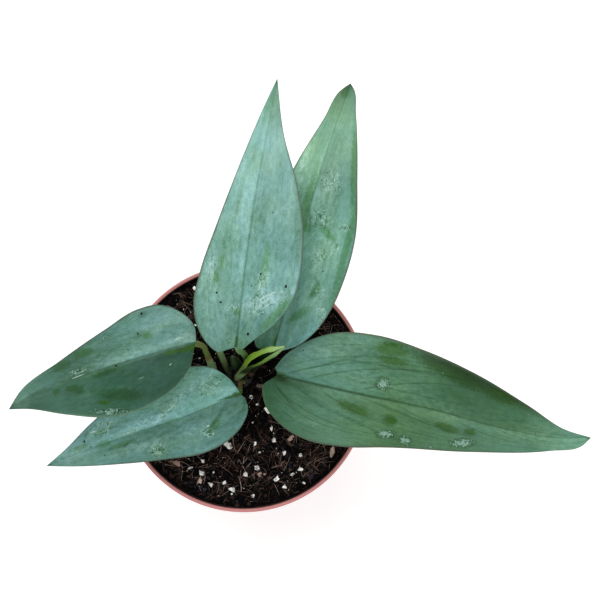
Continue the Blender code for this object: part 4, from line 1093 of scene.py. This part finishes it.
def make_stems(finish):
    """The crown with what grows from it, and the two stems that stand apart."""
    # The ramps run from foot to blade; their dark lower ends are painted shade under the leaves.
    pale = ((0, 30, 26, 18), (0.3, 44, 62, 32), (0.5, 84, 116, 70), (0.75, 92, 128, 78), (1, 104, 142, 100))
    hidden = ((0, 20, 18, 12), (0.45, 16, 30, 12), (0.7, 60, 92, 48), (1, 92, 132, 84))
    olive = ((0, 52, 46, 28), (0.3, 92, 94, 56), (0.6, 84, 92, 50), (0.8, 66, 96, 34), (1, 84, 124, 62))
    ruddy = ((0, 96, 100, 62), (0.3, 100, 130, 86), (0.6, 112, 144, 98), (0.66, 100, 76, 48),
             (0.7, 78, 94, 38), (0.9, 84, 98, 40), (1, 74, 112, 42))
    dark = ((0, 60, 50, 34), (0.4, 60, 84, 42), (0.8, 48, 78, 34), (1, 60, 96, 44))
    crown_line = ((*CROWN, CROWN_FOOT, 5.0), (*CROWN, 88, 5.6), (*CROWN, 94, CROWN_RADII[1]),
                  (*CROWN, CROWN_SHOULDER, CROWN_RADII[1]), (*CROWN, CROWN_TOP - 0.1, CROWN_RADII[0]))
    # the crown is near black, partly its own dark colour and partly painted shade under the leaves
    crown = stem(crown_line, ((0, 12, 9, 8), (1, 11, 9, 7)), (), ((0.8, 0.04, 0.2),), 60, 9)
    stalk = stem(OLD_STALK, ((0, 20, 22, 14), (0.35, 44, 58, 34), (0.7, 98, 126, 80), (1, 104, 134, 86)),
                 ((0.5, 0.03), (0.72, 0.01)), ((0.5, 0.04, 0.12),), 24, 7)
    bud = stem(SIDE_BUD, ((0, 20, 26, 14), (0.6, 28, 48, 22), (1, 44, 68, 32)), (), (), 24, 8)
    grown = [crown, stalk, bud, petiole(1, pale, ((0.14, 0.03),)), petiole(2, hidden, ((0.14, 0.03),)),
             petiole(5, olive, ((0.5, 0.06),))]
    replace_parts(join_stems("stem_crown", grown, finish), "main_stem")
    for number, ramp, scars in ((3, dark, ((0.3, 0.02),)), (4, ruddy, ((0.66, 0.02), (0.98, 0.01)))):
        stem_piece = join_stems(f"leaf_stem_{number}", [petiole(number, ramp, scars)], finish)
        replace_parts(stem_piece, f"petiole_{number}")


def shoot_section():
    """The sheath's section as a closed strip: the share of the way round, how far out, and past its lips."""
    bulge = np.linspace(0, math.pi, SHOOT_LIPS + 2)[1:-1]
    section = [(i / (SHOOT_ARC - 1), 1.0, 0.0) for i in range(SHOOT_ARC)]
    section += [(1.0, 0.5 + 0.5 * math.cos(b), math.sin(b)) for b in bulge]
    section += [(1 - i / (SHOOT_ARC - 1), 0.0, 0.0) for i in range(SHOOT_ARC)]
    section += [(0.0, 0.5 - 0.5 * math.cos(b), -math.sin(b)) for b in bulge]
    return np.array(section).T


def shoot_faces(columns):
    """Faces of the sheath's strip, and the flat ends that close it below and above."""
    faces = [face[::-1] for face in grid_faces(SHOOT_RINGS, columns, closed=True)]
    for first, flip in ((0, False), ((SHOOT_RINGS - 1) * columns, True)):
        ends = []
        for i in range(SHOOT_ARC - 1):
            outer, inner = first + i, first + columns - SHOOT_LIPS - 1 - i
            ends.append([outer, outer + 1, inner - 1, inner])
        near_lip = (SHOOT_ARC - 1, SHOOT_ARC + SHOOT_LIPS)
        far_lip = (2 * SHOOT_ARC + SHOOT_LIPS - 1, columns)
        for start, stop in (near_lip, far_lip):
            ends.append([first + i % columns for i in range(start, stop + 1)])
        faces += [face[::-1] if flip else face for face in ends]
    return faces


def shoot_tones(place, around, out):
    """Bright with painted light on the upper side, dull with painted shade below, and dark with painted
    shade within.
    """
    bright, shaded_tones = ramp_colours(SHOOT_LIT_TONES, place), ramp_colours(SHOOT_SHADED_TONES, place)
    parting = np.interp(place, (0.1, 0.24), (-0.2, 0.4))[:, None]
    share = np.clip((around - parting) / 0.2, 0, 1)[..., None]
    tone = bright[:, None] * share + shaded_tones[:, None] * (1 - share)
    return tone * np.where(out[:, None] < 0.4, SHOOT_SHADE, 1.0)


def make_shoot(finish):
    """The sheath of a new leaf: a boat-shaped tube with a slit that widens upwards, and rounded lips."""
    line = smooth_curve(SHOOT_LINE, SHOOT_RINGS)
    ahead = np.gradient(line, axis=0)
    ahead[0] = (0, 0, 1)
    ahead /= np.linalg.norm(ahead, axis=1)[:, None]
    side = np.cross(ahead, SHOOT_OPENING)
    side /= np.linalg.norm(side, axis=1)[:, None]
    top = np.cross(side, ahead)
    place = np.linspace(0, 1, SHOOT_RINGS)
    stations = np.linspace(0, 1, len(SHOOT_RADII))
    radius = np.interp(place, stations, SHOOT_RADII)
    wall = np.minimum(SHOOT_WALL, 0.45 * radius)
    half = np.radians(np.interp(place, stations, SHOOT_SLITS)) / 2
    turn = np.radians(np.interp(place, stations, SHOOT_TURNS))
    around, out, over = shoot_section()
    angle = (turn + half)[:, None] + (2 * math.pi - 2 * half[:, None]) * around
    level = radius[:, None] - wall[:, None] * (1 - out)
    sines, cosines = np.sin(angle)[..., None], np.cos(angle)[..., None]
    spoke = side[:, None] * sines + top[:, None] * cosines
    tangent = side[:, None] * cosines - top[:, None] * sines
    points = line[:, None] + spoke * level[..., None] + tangent * (0.5 * wall[:, None] * over)[..., None]
    tone = shoot_tones(place, around, out)
    scar = np.repeat(hump(place, 0.01, 0.03), len(out))
    run = xyz(place[:, None] * 70, around * 18, 0.0)
    values = {"tone": tone.reshape(-1, 3), "scar": scar, "run": run.reshape(-1, 3)}
    obj = mesh_object("shoot", points.reshape(-1, 3), shoot_faces(len(out)), finish, values, 70)
    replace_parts(obj, "new_shoot")


def wall_radius(height):
    """Inner radius of the pot at a height above its base."""
    slope = (RIM_RADIUS - BASE_RADIUS) / POT_HEIGHT
    plain = RIM_RADIUS - LIP_WIDTH - slope * (POT_HEIGHT - height)
    return plain if height >= POT_HEIGHT - COLLAR_HEIGHT else plain - COLLAR_STEP + LIP_WIDTH - WALL


def rounded(profile, corners):
    """A profile with its named corners cut by arcs: {index: radius}."""
    result = []
    for i, point in enumerate(profile):
        if i not in corners:
            result.append(point)
            continue
        here = np.array(point, dtype=float)
        before = np.array(profile[i - 1]) - here
        after = np.array(profile[i + 1]) - here
        start = here + before / np.linalg.norm(before) * corners[i]
        end = here + after / np.linalg.norm(after) * corners[i]
        for t in np.linspace(0, 1, 6):
            result.append(tuple((1 - t) ** 2 * start + 2 * t * (1 - t) * here + t**2 * end))
    return result


def pot_profile():
    """The pot's half section as (radius, height), from the middle of its floor round to its base."""
    step = POT_HEIGHT - COLLAR_HEIGHT
    foot = wall_radius(BASE_EDGE) + WALL
    inside = [(0, POT_FLOOR), (wall_radius(POT_FLOOR) - BASE_EDGE, POT_FLOOR)]
    inside += [(wall_radius(z), z) for z in (POT_FLOOR + BASE_EDGE, step - STEP_DROP, step)]
    inside += [(wall_radius(POT_HEIGHT - drop), POT_HEIGHT - drop) for drop in (2.2, 1.5, 0.9)]
    outside = [(RIM_RADIUS - LIP_WIDTH, POT_HEIGHT), (RIM_RADIUS, POT_HEIGHT),
               (wall_radius(step) + LIP_WIDTH, step), (wall_radius(step - 0.8) + WALL, step - 0.8),
               (foot, BASE_EDGE), (foot - BASE_EDGE, 0), (0, 0)]
    profile = rounded(inside + outside, POT_CORNERS)
    fine = [profile[0]]
    for a, b in zip(profile, profile[1:]):
        count = max(1, int(math.dist(a, b) / POT_RING))
        fine += [tuple(np.array(a) + (np.array(b) - np.array(a)) * (i + 1) / count) for i in range(count)]
    return np.array(fine[1:-1])


def round_about(radius, height, sides):
    """Rings of points of a radius at a height, both with one row for each ring."""
    angle = np.linspace(0, 2 * math.pi, sides, endpoint=False)
    return xyz(radius * np.cos(angle), radius * np.sin(angle), height)


def make_pot(finish):
    """The pot turned from its profile, with drain holes cut through its floor."""
    fine = pot_profile()
    rings = round_about(fine[:, :1], fine[:, 1:], POT_SIDES)
    vertices = np.concatenate([rings.reshape(-1, 3), [(0, 0, POT_FLOOR), (0, 0, 0)]])
    faces = [face[::-1] for face in grid_faces(len(fine), POT_SIDES, closed=True)]
    last = (len(fine) - 1) * POT_SIDES
    for i in range(POT_SIDES):
        j = (i + 1) % POT_SIDES
        faces.append([len(vertices) - 2, i, j])
        faces.append([len(vertices) - 1, last + j, last + i])
    radius = np.hypot(vertices[:, 0], vertices[:, 1])
    height = vertices[:, 2]
    inner = np.array([r < wall_radius(z) + 0.6 for r, z in zip(radius, height)])
    # dust and painted shade on the inner wall
    dust_and_shade = np.clip((POT_HEIGHT - INNER_DARK_DROP - height) / INNER_DARK_FADE, 0, 1) * (height > POT_FLOOR + 0.1)
    values = {
        "dust_and_shade": inner * dust_and_shade,
        "lip": np.clip((height - LIP_BOTTOM) / LIP_FADE, 0, 1),
        "wall": np.clip((height - POT_FLOOR - BASE_EDGE) / 4, 0, 1),
    }
    obj = mesh_object("grower_pot", vertices, faces, finish, values, 50)
    cut_drain_holes(obj)
    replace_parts(obj, "pot")


def cut_drain_holes(pot):
    """Cut a ring of round holes through the pot's floor."""
    bm = bmesh.new()
    for index in range(DRAIN_HOLES):
        turn = 2 * math.pi * (index + 0.5) / DRAIN_HOLES
        place = Vector((DRAIN_CIRCLE * math.cos(turn), DRAIN_CIRCLE * math.sin(turn), POT_FLOOR / 2)) * MM
        bmesh.ops.create_cone(bm, cap_ends=True, segments=40, radius1=DRAIN_RADIUS * MM,
                              radius2=DRAIN_RADIUS * MM, depth=3 * POT_FLOOR * MM,
                              matrix=Matrix.Translation(place))
    mesh = bpy.data.meshes.new("drain holes")
    bm.to_mesh(mesh)
    bm.free()
    cutter = bpy.data.objects.new("drain holes", mesh)
    bpy.context.scene.collection.objects.link(cutter)
    cut = pot.modifiers.new("Drain holes", "BOOLEAN")
    cut.operation = "DIFFERENCE"
    cut.object = cutter
    bpy.context.view_layer.update()
    graph = bpy.context.evaluated_depsgraph_get()
    result = bpy.data.meshes.new_from_object(pot.evaluated_get(graph))
    pot.modifiers.clear()
    pot.data = result
    bpy.data.objects.remove(cutter, do_unlink=True)


def soil_height(x, y):
    """Height of the soil's broad surface, a little lower at the wall."""
    flat = xyz(x, y, 0.0)
    lumps = sum(share * noise_at(flat + (0, 0, layer), width) for share, width, layer in SOIL_LUMPS)
    edge = (np.hypot(x, y) / wall_radius(SOIL_LEVEL)) ** SOIL_EDGE_POWER
    return SOIL_LEVEL + SOIL_RELIEF * lumps - SOIL_EDGE_DIP * edge


def leaf_shade(x, y):
    """How much light of its tone the soil keeps: painted shade, darker under the leaves."""
    away = np.hypot(x - LEAF_SHADE_CENTRE[0], y - LEAF_SHADE_CENTRE[1])
    return LEAF_SHADE_TONE + (1 - LEAF_SHADE_TONE) * np.clip((away - LEAF_SHADE_REACH) / LEAF_SHADE_FADE, 0, 1)


def soil_at(x, y):
    """Height of the soil at one place."""
    return float(soil_height(np.array([float(x)]), np.array([float(y)]))[0])


def make_soil(finish):
    """Soil that fills the pot, crumbly on top and following the wall below."""
    step = POT_HEIGHT - COLLAR_HEIGHT
    reach = wall_radius(SOIL_LEVEL - SOIL_CRUMBS) - 0.1
    radius = reach * np.sqrt(np.linspace(0.0004, 1, SOIL_RINGS))[:, None]
    flat = round_about(radius, 0.0, SOIL_SIDES)
    top = soil_height(flat[..., 0], flat[..., 1]) + SOIL_CRUMBS * noise_at(flat, 3.2, 4)
    rings = [np.stack([flat[..., 0], flat[..., 1], top], axis=-1)]
    below = [(step + 0.6, wall_radius(step))]
    below += [(z, wall_radius(z)) for z in (step - STEP_DROP, 40, POT_FLOOR + BASE_EDGE)]
    below.append((POT_FLOOR + SOIL_GAP, wall_radius(POT_FLOOR) - BASE_EDGE))
    rings += [round_about(r - SOIL_GAP, z, SOIL_SIDES)[None] for z, r in below]
    grid = np.concatenate(rings)
    vertices = grid.reshape(-1, 3)
    faces = grid_faces(len(grid), SOIL_SIDES, closed=True)
    last = (len(grid) - 1) * SOIL_SIDES
    faces.append(list(range(SOIL_SIDES)))
    faces.append(list(range(last, last + SOIL_SIDES))[::-1])
    # the soil's light: painted shade under the leaves
    light = {"light": leaf_shade(vertices[:, 0], vertices[:, 1])}
    obj = mesh_object("soil_surface", vertices, [f[::-1] for f in faces], finish, light)
    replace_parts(obj, "soil")


def random_spot(draw, reach):
    """A place on the soil clear of the crown."""
    while True:
        turn, distance = draw.uniform(0, 2 * math.pi), reach * math.sqrt(draw.random())
        x, y = distance * math.cos(turn), distance * math.sin(turn)
        if math.dist((x, y), CROWN) > CROWN_RADIUS:
            return x, y


def any_sizes(draw, size):
    """Three half sizes near the given one."""
    return [size * draw.uniform(0.6, 1.3) for _ in range(3)]


def any_turn(draw):
    """A turn about each axis."""
    return [draw.uniform(0, math.pi) for _ in range(3)]


def make_crumbs(finish):
    """Peat crumbs strewn over the soil and round the crown."""
    draw = random.Random(11)
    shapes = [lump(seed, 1, 0.75) for seed in range(8)]
    places = []
    for _ in range(CRUMBS):
        x, y = random_spot(draw, CRUMB_REACH)
        sizes = any_sizes(draw, 0.35 + 1.1 * draw.random() ** 2.2)
        turn = any_turn(draw)
        centre = (x, y, soil_at(x, y) + draw.uniform(0.0, 0.5))
        places.append((centre, sizes, turn, draw.choice(CRUMB_TONES)))
    for _ in range(CROWN_CRUMBS):
        aside, way = CROWN_RADIUS * math.sqrt(draw.random()), draw.uniform(0, 2 * math.pi)
        height = np.interp(aside, CROWN_RADII, (CROWN_TOP, CROWN_SHOULDER))
        turn = any_turn(draw)
        size = draw.uniform(0.4, 1.0)
        centre = (CROWN[0] + aside * math.cos(way), CROWN[1] + aside * math.sin(way), height)
        places.append((centre, (size, 0.7 * size, 0.5 * size), turn, draw.choice(CRUMB_TONES)))
    # the crumbs are darker under the leaves: painted shade
    scatter("soil_crumbs", shapes, places, finish, leaf_shade)


def make_perlite(finish):
    """White grains, at the places where the photograph shows them and a few more all round."""
    draw = random.Random(5)
    shapes = [shard(seed, 9 + seed) for seed in range(6)]
    shapes += [lump(seed + 20, 2, 0.9, 0.6) for seed in range(3)]
    spots = list(GRAINS)
    for step in range(RING_GRAINS):
        turn = 2 * math.pi * step / RING_GRAINS
        x, y = RING_RADIUS * math.cos(turn), RING_RADIUS * math.sin(turn)
        spots.append((RING_GRAIN[0] + x, RING_GRAIN[1] + y, 0.4))
    spots += [(*random_spot(draw, GRAIN_REACH), 0.25 + 0.7 * draw.random() ** 2)
              for _ in range(SMALL_GRAINS)]
    spots += [(*random_spot(draw, DUST_REACH), draw.uniform(0.12, 0.3)) for _ in range(GRAIN_DUST)]
    places = []
    for x, y, radius in spots:
        sizes = any_sizes(draw, radius)
        turn = any_turn(draw)
        centre = (x, y, soil_at(x, y) + 0.45 * radius + 0.4)
        places.append((centre, sizes, turn, draw.choice(GRAIN_TONES)))
    scatter("perlite", shapes, places, finish)


def make_chips(finish):
    """Bark chips and splinters."""
    draw = random.Random(3)
    shapes = [shard(seed + 40, 22) for seed in range(6)]
    spots = [(x, y, math.radians(degrees), length) for x, y, degrees, length in CHIPS]
    for _ in range(SPLINTERS):
        spots.append((*random_spot(draw, SPLINTER_REACH), draw.uniform(0, math.pi), draw.uniform(1.2, 4.0)))
    places = []
    for index, (x, y, turn, length) in enumerate(spots):
        sizes = (0.5 * length, draw.uniform(0.18, 0.28) * length, 0.14 * length)
        tilt = (draw.uniform(-0.25, 0.25), draw.uniform(-0.25, 0.25), turn)
        tone = draw.choice(CHIP_TONES if index < len(CHIPS) else SPLINTER_TONES)
        places.append(((x, y, soil_at(x, y) + 0.5), sizes, tilt, tone))
    # the chips are darker under the leaves: painted shade
    scatter("bark_chips", shapes, places, finish, leaf_shade)


def fibre(draw, x, y, length, radius, lift, bend, sides):
    """A fine root or fibre that lies along the soil in a loose bend."""
    turn, bend, tilt = draw.uniform(0, 2 * math.pi), draw.uniform(-bend, bend), draw.uniform(-0.5, 0.5)
    count = max(4, int(length / 1.4))
    points = []
    for i in range(count):
        points.append((x, y, soil_at(x, y) + lift + tilt * (i / (count - 1) - 0.5)))
        x += length / count * math.cos(turn)
        y += length / count * math.sin(turn)
        turn += bend / count + draw.uniform(-0.12, 0.12)
    radii = radius * np.interp(np.linspace(0, 1, count), (0, 0.3, 1), (0.7, 1, 0.4))
    return tube(np.array(points), radii, sides)


def make_fibres(finish):
    """Brown peat fibres and a few pale roots."""
    draw = random.Random(17)
    vertices, faces, tones = [], [], []
    first = 0
    for index in range(FIBRES):
        pale = index < PALE_FIBRES
        x, y = random_spot(draw, FIBRE_START)
        length = draw.uniform(4, 11) if pale else draw.uniform(2.5, 12)
        radius = draw.uniform(0.07, 0.12) if pale else draw.uniform(0.045, 0.1)
        bend = 1.6 if index % 4 == 0 else 0.4
        points, corners = fibre(draw, x, y, length, radius, draw.uniform(0.3, 1.1), bend, 4)
        if np.hypot(points[:, 0], points[:, 1]).max() > FIBRE_REACH:
            continue
        vertices.append(points)
        faces += [[i + first for i in face] for face in corners]
        tone = draw.choice(PALE_FIBRE_TONES if pale else FIBRE_TONES)
        # the fibres are darker under the leaves: painted shade
        tones.append(np.tile(srgb(*tone), (len(points), 1)) * leaf_shade(x, y))
        first += len(points)
    mesh_object("fibres", np.concatenate(vertices), faces, finish, {"tone": np.concatenate(tones)})


def make_specks(finish):
    """Crumbs of soil that lie on the leaves."""
    shapes = [lump(seed + 60, 1, 0.6) for seed in range(5)]
    draw = random.Random(23)
    places = []
    for leaf in LEAVES:
        for along, across, radius in leaf.specks:
            height = float(blade_height(leaf, np.array(along), np.array(across)))
            centre = leaf_to_world(leaf, along, across, height + 0.25 * radius)
            sizes = (radius, radius * draw.uniform(0.6, 1.0), radius * 0.5)
            places.append((centre, sizes, (0, 0, draw.uniform(0, math.pi)), SPECK_TONE))
    scatter("leaf_crumbs", shapes, places, finish)


def add_sky():
    """Plain white surroundings, brighter near the horizon so that they meet the floor without a line."""
    world = bpy.data.worlds.new("studio")
    bpy.context.scene.world = world
    world.use_nodes = True
    tree = world.node_tree
    background = tree.nodes["Background"]
    background.inputs["Color"].default_value = (1, 1, 1, 1)
    where = tree.nodes.new("ShaderNodeTexCoord")
    parts = tree.nodes.new("ShaderNodeSeparateXYZ")
    level = tree.nodes.new("ShaderNodeMapRange")
    level.interpolation_type = "SMOOTHSTEP"
    for key, value in zip(("From Min", "From Max", "To Min", "To Max"), (*SKY_FADE, *SKY_LEVELS)):
        level.inputs[key].default_value = value
    tree.links.new(where.outputs["Generated"], parts.inputs[0])
    tree.links.new(parts.outputs["Z"], level.inputs["Value"])
    tree.links.new(level.outputs[0], background.inputs["Strength"])


def add_floor():
    """A pale floor that ends far out of sight."""
    bpy.ops.mesh.primitive_plane_add(size=FLOOR_SIZE)
    floor = bpy.context.object
    floor.name = "floor"
    pale = Nodes("floor", 0.9)
    pale.shader.inputs["Emission Color"].default_value = (1, 1, 1, 1)
    pale.shader.inputs["Emission Strength"].default_value = FLOOR_GLOW
    floor.data.materials.append(pale.finish(FLOOR_COLOUR))


def add_lamps():
    """A soft key light and a weaker fill, both above and to a side."""
    for name, place, size, power in LAMPS:
        lamp = bpy.data.lights.new(name, "AREA")
        lamp.size = size
        lamp.energy = power
        lamp_object = bpy.data.objects.new(name, lamp)
        lamp_object.location = place
        direction = Vector(LAMP_AIM) - Vector(place)
        lamp_object.rotation_euler = direction.to_track_quat("-Z", "Y").to_euler()
        bpy.context.scene.collection.objects.link(lamp_object)


def add_camera():
    """The camera that sees the plant as the photograph does."""
    camera = bpy.data.cameras.new("camera")
    camera.sensor_width = SENSOR
    camera.lens = FOCAL_PIXELS / FRAME_PIXELS * SENSOR
    camera_object = bpy.data.objects.new("camera", camera)
    camera_object.location = Vector(CAMERA_PLACE) * MM
    bpy.context.scene.collection.objects.link(camera_object)
    bpy.context.scene.camera = camera_object
    bpy.context.scene.view_settings.view_transform = "Standard"


def main():
    skin = leaf_material("leaf_skin")
    for number, leaf in enumerate(LEAVES, 1):
        make_leaf(number, leaf, skin)
    make_stems(stem_material("stem_skin"))
    make_shoot(stem_material("shoot_skin"))
    make_pot(pot_material())
    make_soil(soil_material())
    crumbs = loose_material("crumbs", 0.5, 0.5, 0.85, 0.3)
    make_crumbs(crumbs)
    make_specks(crumbs)
    make_perlite(perlite_material())
    make_chips(loose_material("bark", 0.4, 0.75, 0.8, 0.3))
    make_fibres(loose_material("fibre", 0.6, 0.25, 0.7, 0.05))
    add_floor()
    add_sky()
    add_lamps()
    add_camera()


main()
